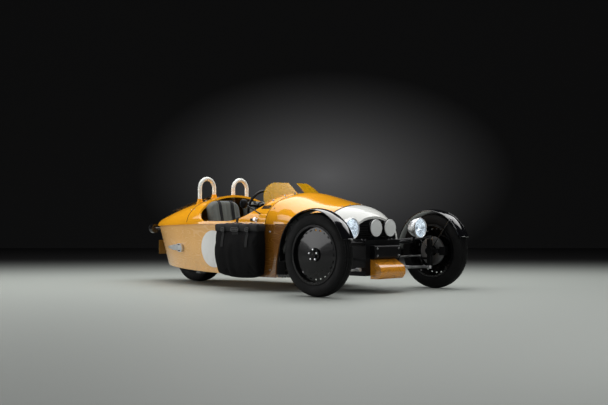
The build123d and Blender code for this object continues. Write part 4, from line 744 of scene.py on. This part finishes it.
def stuffed(name, node, material, shape, held, pressure, most):
    """Soft cover on a CAD solid: meshed fine, shaped, then blown up between the spots that are held."""
    made = bpy.data.objects.new(name, nodes[node].data.copy())
    scene.collection.objects.link(made)
    fine = made.modifiers.new("fine", "REMESH")
    fine.mode, fine.voxel_size = "VOXEL", cloth_grain
    soft = made.modifiers.new("soft", "SMOOTH")
    soft.factor, soft.iterations = 0.5, 5
    mesh = baked(made)
    normals = [vertex.normal.copy() for vertex in mesh.vertices]
    firm = [held(vertex.co, normal) for vertex, normal in zip(mesh.vertices, normals)]
    for vertex, normal in zip(mesh.vertices, normals):
        vertex.co = shape(vertex.co.copy(), normal)
    before = [vertex.co.copy() for vertex in mesh.vertices]
    group = made.vertex_groups.new(name="held")
    for index, weight in enumerate(firm):
        if weight > 0:
            group.add([index], weight, "REPLACE")
    cloth = made.modifiers.new("cloth", "CLOTH")
    cloth.settings.use_pressure = True
    cloth.settings.uniform_pressure_force = pressure
    cloth.settings.vertex_group_mass = "held"
    cloth.settings.effector_weights.gravity = 0
    cloth.settings.quality = 4
    cloth.collision_settings.use_collision = False
    cloth.point_cache.frame_end = cloth_frames
    for step in range(1, cloth_frames + 1):
        scene.frame_set(step)
    mesh = baked(made)
    for vertex, start in zip(mesh.vertices, before):
        move = vertex.co - start
        vertex.co = start + move * min(1.0, most / max(move.length, 1e-9))
    scene.frame_set(1)
    made.modifiers.new("round", "SUBSURF").levels = 1
    mesh = baked(made)
    mesh.materials.clear()
    mesh.materials.append(material)
    mesh.shade_smooth()
    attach(made, "chassis")
    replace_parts(made, node)
    return made


seat_y, seat_half = 0.255, 0.196
seat_top, shoulder_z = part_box("seat_backs")[1][2], 0.62
seat_pressure, seat_most = 4.0, 0.012
channels = (-0.130, -0.065, 0.0, 0.065, 0.130)
channel_half, channel_deep = 0.012, 0.006


def from_channel(spot):
    """Distance from the nearest sewn channel of either seat."""
    return min(abs(abs(spot.y) - seat_y - line) for line in channels)


def sewn(spot, normal):
    """The spot drawn in where it lies by a sewn channel."""
    return spot - normal * channel_deep * max(0.0, 1 - from_channel(spot) / channel_half)


def back_shape(spot, normal):
    off = (abs(spot.y) - seat_y) / seat_half
    upper = max(0.0, (spot.z - shoulder_z) / (seat_top - shoulder_z))
    spot.z -= 0.055 * upper * abs(off) ** 5
    return sewn(spot, normal) if normal.x > 0.35 else spot


def cushion_shape(spot, normal):
    return sewn(spot, normal) if normal.z > 0.35 or normal.x > 0.5 else spot


def back_held(spot, normal):
    return 1.0 if normal.x < -0.3 or spot.z < 0.34 or from_channel(spot) < 0.006 else 0.0


def cushion_held(spot, normal):
    return 1.0 if normal.z < 0.2 or from_channel(spot) < 0.006 else 0.0


back_covers = stuffed("seat_back_covers", "seat_backs", seat_cover, back_shape, back_held, seat_pressure,
                      seat_most)
cushion_covers = stuffed("seat_cushion_covers", "seat_cushions", seat_cover, cushion_shape, cushion_held,
                         seat_pressure, seat_most)

# A black webbing harness lies over each seat back: two shoulder belts come over the top from the deck
# and end in pressed buckles, as the belts lie when nobody sits there.
back_skin = surface(back_covers.data)
belts, clasps = [], []
webbing = cloth_of("black_webbing", (0.012, 0.012, 0.0122, 1), (0.026, 0.026, 0.0265, 1), 240.0, 0.0008, 0.2)


def strap(path, across, width, thick):
    """Flat strap along a path; across is the direction of its width."""
    path, across = [Vector(point) for point in path], Vector(across).normalized()
    points = []
    for index, spot in enumerate(path):
        way = path[min(index + 1, len(path) - 1)] - path[max(index - 1, 0)]
        out = way.cross(across).normalized()
        for wide, high in ((-1, -1), (1, -1), (1, 1), (-1, 1)):
            points.append(spot + across * wide * width / 2 + out * high * thick / 2)
    last = 4 * len(path) - 4
    return points, rings(len(path), 4) + [[0, 1, 2, 3], [last, last + 1, last + 2, last + 3]]


for _, side in sides:
    for off in (-0.085, 0.085):
        y = side * seat_y + off
        path = []
        for behind in (1.925, 1.905, 1.890):
            spot, normal = landed(back_skin, (axle_x - behind, y, 1.1), (0, 0, -1))
            if spot.z < 1.0:
                path.append(spot + normal * 0.004)
        for step in range(17):
            start = (axle_x - 1.35, y - 0.05 * off * step / 17, 0.845 - 0.023 * step)
            spot, normal = landed(back_skin, start, (-1, 0, 0))
            if spot.x < axle_x - 1.5:
                path.append(spot + normal * 0.004)
        belts.append(strap(path, (0, 1, 0), 0.036, 0.003))
        rows = [(-0.004, 0.0), (-0.004, 0.024), (0.006, 0.024), (0.010, 0.018), (0.010, 0.0)]
        clasps.append(turned(rows, aimed(path[-1], (1, 0, 0.3)), 24))
piece("harness_belts", together(belts), webbing)
piece("harness_clasps", together(clasps), steel_head)

# Panniers: black coated canvas bags with a rolled top, sagging on their contents. Two webbing straps
# and a short wide one between them run down each front through ladder buckles, and one strap goes
# over the cockpit side.
canvas = cloth_of("black_canvas", (0.0028, 0.0028, 0.0030, 1), (0.0060, 0.0060, 0.0064, 1), 300.0, 0.0006)


def squarish(angle, power):
    """Across and up on a rounded square of half width one."""
    return [abs(value) ** power * (1 if value > 0 else -1) for value in (cos(angle), sin(angle))]


def buckle(spot, normal, up, wide, high):
    """Ladder buckle: a rounded wire frame with a bar across."""
    normal, up = Vector(normal).normalized(), Vector(up).normalized()
    beside = up.cross(normal)
    frame_path = []
    for step in range(24):
        reach = squarish(2 * pi * step / 24, 0.4)
        frame_path.append(Vector(spot) + normal * 0.004 + beside * reach[0] * wide / 2
                          + up * reach[1] * high / 2)
    rung = [Vector(spot) + normal * 0.005 + beside * wide / 2 * end for end in (-1, -0.5, 0, 0.5, 1)]
    return together([bar(frame_path, 0.0032, 8, True), bar(rung, 0.0028, 8)])


# The rolled top is a paler coated canvas, partly its own tone and partly painted light from above.
flap_with_painted_light = cloth_of("flap_canvas", (0.0075, 0.0075, 0.0078, 1), (0.017, 0.017, 0.0175, 1), 300.0, 0.0006, 0.35)
buckle_grey = coated("buckle_grey", (0.05, 0.05, 0.052, 1), (0.2, 0.2, 0.2, 1), 0.4, 0.3, 300.0, 0.0001, 0.5)
bag_pressure, bag_most = 1.2, 0.010
over_x = axle_x - 1.340
# Strap rows: (out from the wall, up from the bag's top); over the side: (out from the panel, height)
strap_rows = ((0.010, 0.010), (0.060, 0.0125), (0.112, -0.002), (0.1265, -0.036), (0.1265, -0.066))
over_rows = ((0.004, 0.655), (0.003, 0.678), (-0.004, 0.694), (-0.016, 0.699), (-0.030, 0.690),
             (-0.034, 0.640))
for name, side in sides:
    node = "pannier_" + name
    lowest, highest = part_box(node)
    middle = [(lowest[axis] + highest[axis]) / 2 for axis in range(3)]
    long, high = highest[0] - lowest[0], highest[2] - lowest[2]
    wall = side * min(abs(lowest[1]), abs(highest[1]))

    def bag_shape(spot, normal):
        """Thin at the rolled top, full below, the lower corners drawn up and the cloth creased."""
        along, up = 2 * (spot.x - middle[0]) / long, (spot.z - lowest[2]) / high
        deep = (spot.y - wall) * side
        deep *= 0.56 + 0.44 * sin(pi * min(1.0, 0.12 + 0.78 * (1 - up)))
        spot.z += 0.030 * (1 - up) ** 2 * abs(along) ** 4 - 0.010 * (1 - up) * (1 - along * along)
        spot.x += 0.020 * along * (sin(pi * up) - 0.6)
        crease = noise.noise(Vector((spot.x * 16, spot.z * 3.2, side * 2.0)))
        fold = noise.noise(Vector((spot.x * 5 + spot.z * 4, spot.z * 9, side * 5.0)))
        deep += (0.006 * crease + 0.005 * fold) * min(1.0, deep / 0.06)
        spot.y = wall + side * max(deep, 0.0)
        return spot

    def bag_held(spot, normal):
        return 1.0 if (spot.y - wall) * side < 0.012 or spot.z > highest[2] - 0.07 else 0.0

    bag = stuffed("pannier_bag_" + name, node, canvas, bag_shape, bag_held, bag_pressure, bag_most)
    skin = surface(bag.data)
    rows, ring = 44, 20
    points = []
    for row in range(rows):
        along = -1 + 2 * row / (rows - 1)
        x = middle[0] + along * (long / 2 + 0.004)
        swell = 1 + 0.10 * noise.noise(Vector((x * 11, side * 3.0, 0.0)))
        pinch = 1 - 0.5 * max(0.0, abs(along) - 0.96) / 0.04
        for step in range(ring):
            angle = 2 * pi * step / ring
            reach = squarish(angle, 0.55)
            points.append(Vector((x, wall + side * (0.060 + 0.058 * swell * pinch * reach[0]),
                                  highest[2] - 0.034 + 0.040 * pinch * reach[1]
                                  + 0.004 * noise.noise(Vector((x * 7, angle, side))))))
    faces = rings(rows, ring) + [list(range(ring)), list(range((rows - 1) * ring, rows * ring))]
    piece("pannier_roll_" + name, (points, faces), flap_with_painted_light)
    straps, buckles = [], []
    for along in (-0.56, 0.0, 0.56):
        x = middle[0] + along * long / 2
        path = [(x, wall + side * out, highest[2] + up) for out, up in strap_rows]
        ends = 0.14 if along else 0.02
        for step in range(1, 9):
            z = highest[2] - 0.078 - ends * step / 8
            spot, normal = landed(skin, (x, side * 1.2, z), (0, -side, 0))
            path.append(spot + normal * 0.003)
        straps.append(strap(path, (1, 0, 0), 0.034 if along else 0.09, 0.0026))
        buckles.append(buckle(Vector((x, wall + side * 0.128, highest[2] - 0.050)), (0, side, 0), (0, 0, 1),
                              0.046 if along else 0.112, 0.030))
    spot, normal = on_flank(scuttle, side, over_x, 0.672)
    over = [(over_x, wall + side * 0.020, highest[2] - 0.006),
            (over_x, wall + side * 0.004, highest[2] + 0.006)]
    over += [(over_x, spot.y + side * out, z) for out, z in over_rows]
    straps.append(strap(over, (1, 0, 0), 0.030, 0.0026))
    piece("pannier_straps_" + name, together(straps), webbing)
    piece("pannier_buckles_" + name, together(buckles), buckle_grey)

# On each side of the scuttle: a turned knob with a short strap holds the tonneau edge, and a black
# louvre lets warm air out of the cockpit side.
knob_rows = [(-0.004, 0.0), (-0.004, 0.020), (0.004, 0.020), (0.006, 0.012), (0.014, 0.011), (0.017, 0.019),
             (0.027, 0.021), (0.031, 0.017), (0.032, 0.0)]
knobs, tabs, vents = [], [], []
for _, side in sides:
    spot, normal = on_flank(scuttle, side, axle_x - 1.070, 0.676)
    knobs.append(turned(knob_rows, aimed(spot, normal), 28))
    path = []
    for step in range(7):
        tab, out = on_flank(scuttle, side, axle_x - 1.084 - 0.011 * step, 0.676)
        path.append(tab + out * 0.004)
    tabs.append(strap(path, (0, 0, 1), 0.026, 0.004))
    for step in range(3):
        path = []
        for along in range(13):
            slat, out = on_flank(scuttle, side, axle_x - 0.955 - 0.0092 * along, 0.787 + 0.011 * step)
            path.append(slat + out * 0.003)
        vents.append(strap(path, (0, side * 0.4, 1), 0.0085, 0.006))
piece("scuttle_knobs", together(knobs), chrome)
piece("scuttle_tabs", together(tabs), webbing)
piece("scuttle_louvres", together(vents), grille_black)

# The exhaust outlet is a polished steel teardrop; flat black strips laid in its two slots are painted shade
# for their depth.
flat_black = coated("flat_black", (0.004, 0.004, 0.004, 1), (0.01, 0.01, 0.01, 1), 0.2, 0.0)
dress(chrome, "exhaust_outlet")
outlet = surface(nodes["exhaust_outlet"].data)
# Painted shade: a flat black strip lies in each slot.
slot_shade = []
for z in (0.353, 0.415):
    path = []
    for step in range(8):
        spot, normal = on_flank(outlet, -1, axle_x - 2.294 - 0.010 * step, z)
        path.append(spot + normal * 0.0012)
    slot_shade.append(strap(path, (0, 0, 1), 0.0112, 0.002))
piece("outlet_slot_shade", together(slot_shade), flat_black)

# The black luggage rack carries two leather straps with brass buckles, laid along its bars.
leather = coated("strap_leather", (0.020, 0.011, 0.006, 1), (0.08, 0.045, 0.025, 1), 0.5, 0.0, 260.0, 0.0006)
brass = coated("brass", (0.55, 0.38, 0.14, 1), (0.7, 0.52, 0.25, 1), 0.3, 1.0, 300.0, 0.0001)
rail = arc_through((-2.290, 0.924), (-2.590, 0.856), (-2.900, 0.775), 25)
straps, buckles = [], []
for y in (-0.055, 0.055):
    path = [(axle_x + spot.x, y, spot.y + 0.0085 - 0.004 * abs(sin(pi * index / 6)))
            for index, spot in enumerate(rail)]
    straps.append(strap(path, (0, 1, 0), 0.028, 0.003))
    ahead = Vector(path[6]) - Vector(path[4])
    buckles.append(buckle(Vector(path[5]) + Vector((0, 0, 0.001)), (-ahead.z, 0, ahead.x), ahead,
                          0.036, 0.030))
piece("rack_straps", together(straps), leather)
piece("rack_buckles", together(buckles), brass)

# The dashboard is a leather-covered panel with two dials in front of the driver, one in the middle,
# a row of toggle switches and a passenger's grab rail. The steering wheel is bound in the same leather.
hide = coated("black_hide", (0.010, 0.010, 0.0105, 1), (0.03, 0.03, 0.03, 1), 0.5, 0.0, 520.0, 0.0006)
dress(hide, "dashboard", "steering_wheel")
dash_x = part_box("dashboard")[0][0]
aft = Vector((-1, 0, 0))
rims, discs, marks = [], [], []
# Rim rows: (height above the panel, past the dial's radius)
rim_rows = ((0.0, 0.006), (0.010, 0.006), (0.013, 0.002), (0.012, -0.002), (0.006, -0.003))
for y, z, radius in ((-0.365, 0.765, 0.046), (-0.145, 0.775, 0.046), (0.0, 0.800, 0.056)):
    place = aimed((dash_x, y, z), aft)
    rims.append(turned([(high, radius + past) for high, past in rim_rows], place, 36))
    discs.append(turned([(0.006, radius - 0.0025), (0.005, radius * 0.5), (0.005, 0.0)], place, 36))
    for step in range(25):
        angle = radians(-135 + 270 * step / 24)
        reach = (radius - 0.006, radius - (0.016 if step % 4 == 0 else 0.011))
        line = [place @ Vector((sin(angle) * far, cos(angle) * far, 0.0066)) for far in reach]
        marks.append(bar(line, 0.0009 if step % 4 == 0 else 0.0006, 6))
    hand = [place @ Vector((0, 0, 0.008)), place @ Vector((-0.6 * radius, -0.55 * radius, 0.008))]
    marks.append(bar(hand, 0.0012, 6))
    marks.append(turned([(0.006, 0.005), (0.010, 0.005), (0.011, 0.0)], place, 14))
toggle = [(0.0, 0.009), (0.003, 0.009), (0.004, 0.005), (0.010, 0.0045), (0.012, 0.003), (0.026, 0.0042),
          (0.029, 0.0)]
for step in range(6):
    rims.append(turned(toggle, aimed((dash_x, -0.075 + 0.03 * step, 0.700), (-1, 0, 0.25)), 14))
# Grab rail rows: (out from the panel, across, height)
grab_rows = ((0.0, 0.17, 0.760), (0.030, 0.175, 0.762), (0.042, 0.20, 0.764), (0.042, 0.30, 0.764),
             (0.030, 0.325, 0.762), (0.0, 0.33, 0.760))
rims.append(bar([(dash_x - out, y, z) for out, y, z in grab_rows], 0.009, 12))
piece("dial_rims_and_switches", together(rims), chrome)
piece("dial_faces", together(discs), flat_black)
piece("dial_marks", together(marks), white_film)
rake = radians(22.0)
column = Vector((-cos(rake), 0, sin(rake)))
wheel_spot = Vector((axle_x - 1.350, -seat_y, 0.818))
boss = [(0.002, 0.0), (0.002, 0.040), (0.008, 0.040), (0.012, 0.036), (0.013, 0.022), (0.017, 0.018),
        (0.018, 0.0)]
piece("wheel_boss", turned(boss, aimed(wheel_spot, column), 36), satin_black, "steering_wheel")
heads = []
for step in range(6):
    angle = 2 * pi * step / 6
    spot = aimed(wheel_spot, column) @ Vector((0.029 * cos(angle), 0.029 * sin(angle), 0.0126))
    heads.append(screw(spot, column, 0.004))
piece("wheel_boss_screws", together(heads), steel_head, "steering_wheel")

# Mirrors: domed black shells on stalks with a silvered glass in the back.
shell_rows = [(-0.0135, 0.0385), (-0.0145, 0.0430), (-0.010, 0.0460), (0.006, 0.0462), (0.020, 0.0370),
              (0.029, 0.0210), (0.032, 0.0)]
glass_rows = [(-0.0130, 0.0390), (-0.0136, 0.0200), (-0.0138, 0.0)]
shells, mirrors = [], []
for _, side in sides:
    place = aimed((axle_x - 1.152, side * 0.668, 0.832), (1, 0, 0))
    shells.append(turned(shell_rows, place, 36))
    mirrors.append(turned(glass_rows, place, 36))
piece("mirror_shells", together(shells), satin_black)
piece("mirror_glass", together(mirrors), chrome)

# Tail lamps: black housings on a bar, each closed by a ribbed dark red lens in a thin black rim; the lens is
# painted paler on its ribs and darker between them, as light and shade on the relief.
red_glass, tree, shader = finish("red_glass", {"Coat Weight": 0.7, "Coat Roughness": 0.05})
where = put(tree, "TexCoord").outputs["Object"]
ribs_and_painted_light = put(tree, "TexWave", {"Vector": where, "Scale": 40.0}, bands_direction="Z").outputs[1]
# Painted light and shade: paler red on the ribs, darker in the grooves.
tree.links.new(mix_colour(tree, ribs_and_painted_light, (0.09, 0.002, 0.002, 1), (0.22, 0.006, 0.005, 1)),
               shader.inputs["Base Color"])
tree.links.new(ramp(tree, ribs_and_painted_light, 0.0, 1.0, 0.08, 0.2), shader.inputs["Roughness"])
raised(tree, shader, ribs_and_painted_light, 0.002, 0.5)
tail_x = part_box("tail_lamps")[0][0]
lens_rows = [(0.0, 0.0), (0.0, 0.0455), (0.003, 0.0445), (0.006, 0.0330), (0.0075, 0.0160), (0.008, 0.0)]
tail_rim_rows = [(-0.004, 0.0502), (0.001, 0.0512), (0.004, 0.0495), (0.003, 0.0455), (0.0, 0.0450)]
lenses, rims = [], []
for _, side in sides:
    place = aimed((tail_x, side * 0.182, 0.578), aft)
    lenses.append(turned(lens_rows, place, 36))
    rims.append(turned(tail_rim_rows, place, 36))
piece("tail_lenses", together(lenses), red_glass)
piece("tail_lamp_rims", together(rims), satin_black)

# The rear plate is blank pressed sheet in yellow, painted dark brown as shade, with a raised black border and
# two screws.
dress(lacquer("plate_yellow_painted_shade", (0.19, 0.12, 0.03, 1), 0.5), "plate_holder")
plate_low, plate_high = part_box("plate_holder")
plate_x, inset, corner = plate_low[0], 0.010, 0.016
plate_bottom, plate_top = 0.292, 0.448
border = []
for cy, cz, start in ((1, 1, 0), (-1, 1, 90), (-1, -1, 180), (1, -1, 270)):
    level = plate_top - inset - corner if cz > 0 else plate_bottom + inset + corner
    for step in range(7):
        angle = radians(start + 15 * step)
        border.append((plate_x, cy * (plate_high[1] - inset - corner) + corner * cos(angle),
                       level + corner * sin(angle)))
piece("plate_border", bar(border, 0.0016, 6, True), satin_black)
piece("plate_screws", together([screw((plate_x, y, 0.370), aft, 0.007) for y in (-0.075, 0.075)]), steel_head)

# The studio: a pale floor that runs out of the light behind the car, a dark backdrop with a faint glow,
# one wide soft light overhead and four smaller ones round the car.
scene.view_settings.view_transform = "Standard"
floor_mesh = bpy.data.meshes.new("studio_floor")
floor_half = 40.0
floor_mesh.from_pydata([(-floor_half, -floor_half, 0), (floor_half, -floor_half, 0),
                        (floor_half, floor_half, 0), (-floor_half, floor_half, 0)], [], [(0, 1, 2, 3)])
floor = bpy.data.objects.new("studio_floor", floor_mesh)
scene.collection.objects.link(floor)
yaw, pitch = radians(133.716), radians(0.916)
pale, tree, shader = finish("pale_floor", {"Roughness": 0.6})
along = put(tree, "VectorMath", {0: put(tree, "TexCoord").outputs["Object"], 1: (cos(yaw), sin(yaw), 0)},
            operation="DOT_PRODUCT").outputs["Value"]
fade = put(tree, "MapRange", {"Value": along, "From Min": 1.2, "From Max": 7.5},
           interpolation_type="SMOOTHSTEP").outputs[0]
tree.links.new(mix_colour(tree, fade, (0.34, 0.362, 0.335, 1), (0.014, 0.014, 0.014, 1)),
               shader.inputs["Base Color"])
floor_mesh.materials.append(pale)
# The backdrop stands further off than any camera, so that it hides the car from no side
drop_far, drop_half, drop_high = 14.0, 18.0, 10.0
drop_mesh = bpy.data.meshes.new("studio_backdrop")
drop_mesh.from_pydata([(-drop_half, 0, -0.02), (drop_half, 0, -0.02), (drop_half, 0, drop_high),
                       (-drop_half, 0, drop_high)], [], [(0, 1, 2, 3)])
drop = bpy.data.objects.new("studio_backdrop", drop_mesh)
drop.location = Vector((cos(yaw), sin(yaw), 0)) * drop_far
drop.rotation_euler = (0, 0, yaw - pi / 2)
scene.collection.objects.link(drop)
dusk, tree, shader = finish("dark_backdrop", {"Base Color": (0.01, 0.01, 0.01, 1), "Roughness": 0.9,
                                              "Specular IOR Level": 0.0, "Emission Strength": 1.0})
where = put(tree, "TexCoord").outputs["Object"]
drawn = put(tree, "Mapping", {"Vector": where, "Location": (-0.183, 0.0, -0.681),
                              "Scale": (0.2235, 0.0, 0.399)}).outputs[0]
away = put(tree, "VectorMath", {0: drawn}, operation="LENGTH").outputs["Value"]
glow = maths(tree, "POWER", ramp(tree, away, 1.0, 0.0, 0.05, 0.30), 2.0)
tree.links.new(scaled(tree, (1.0, 1.0, 1.02), glow), shader.inputs["Emission Color"])
drop_mesh.materials.append(dusk)
world = bpy.data.worlds.new("studio")
scene.world = world
world.use_nodes = True
sky = world.node_tree
path = put(sky, "LightPath").outputs
seen = maths(sky, "MAXIMUM", path["Is Camera Ray"], maths(sky, "MAXIMUM", path["Is Glossy Ray"],
                                                          path["Is Transmission Ray"]))
back = sky.nodes["Background"]
sky.links.new(mix_colour(sky, seen, (0.10, 0.102, 0.106, 1), (0.008, 0.008, 0.009, 1)), back.inputs["Color"])
back.inputs["Strength"].default_value = 1.0


def soft_light(name, at, aim, size, power):
    lamp = bpy.data.lights.new(name, "AREA")
    lamp.shape = "RECTANGLE"
    lamp.size, lamp.size_y = size
    lamp.energy = power
    made = bpy.data.objects.new(name, lamp)
    made.location = at
    made.rotation_euler = (Vector(aim) - Vector(at)).to_track_quat("-Z", "Y").to_euler()
    scene.collection.objects.link(made)


soft_light("overhead", (-0.4, 0.6, 5.2), (-0.3, 0.0, 0.4), (6.0, 6.4), 415.0)
soft_light("far_top", (1.9, 5.0, 4.6), (0.9, 0.0, 0.5), (3.5, 2.2), 70.0)
soft_light("front_fill", (7.5, -2.0, 2.8), (1.2, -0.1, 0.5), (4.5, 2.6), 105.0)
soft_light("tail_box", (-3.2, -2.6, 3.0), (-0.6, -0.5, 0.6), (2.6, 1.8), 50.0)
soft_light("side_fill", (-5.0, -7.5, 1.5), (-0.7, -0.3, 0.4), (7.0, 1.4), 215.0)

# The camera stands low off the right front corner; its place, turn and lens were fitted to the wheels
# and the hoops.
camera = bpy.data.cameras.new("camera")
camera.sensor_fit = "HORIZONTAL"
camera.sensor_width = 36.0
camera.lens = 62.06
view = bpy.data.objects.new("camera", camera)
ahead = Vector((cos(pitch) * cos(yaw), cos(pitch) * sin(yaw), sin(pitch)))
beside = Vector((sin(yaw), -cos(yaw), 0.0))
above = beside.cross(ahead)
view.matrix_world = Matrix((
    (beside.x, above.x, -ahead.x, axle_x + 6.2623),
    (beside.y, above.y, -ahead.y, -7.581),
    (beside.z, above.z, -ahead.z, 0.682),
    (0, 0, 0, 1)))
scene.collection.objects.link(view)
scene.camera = view
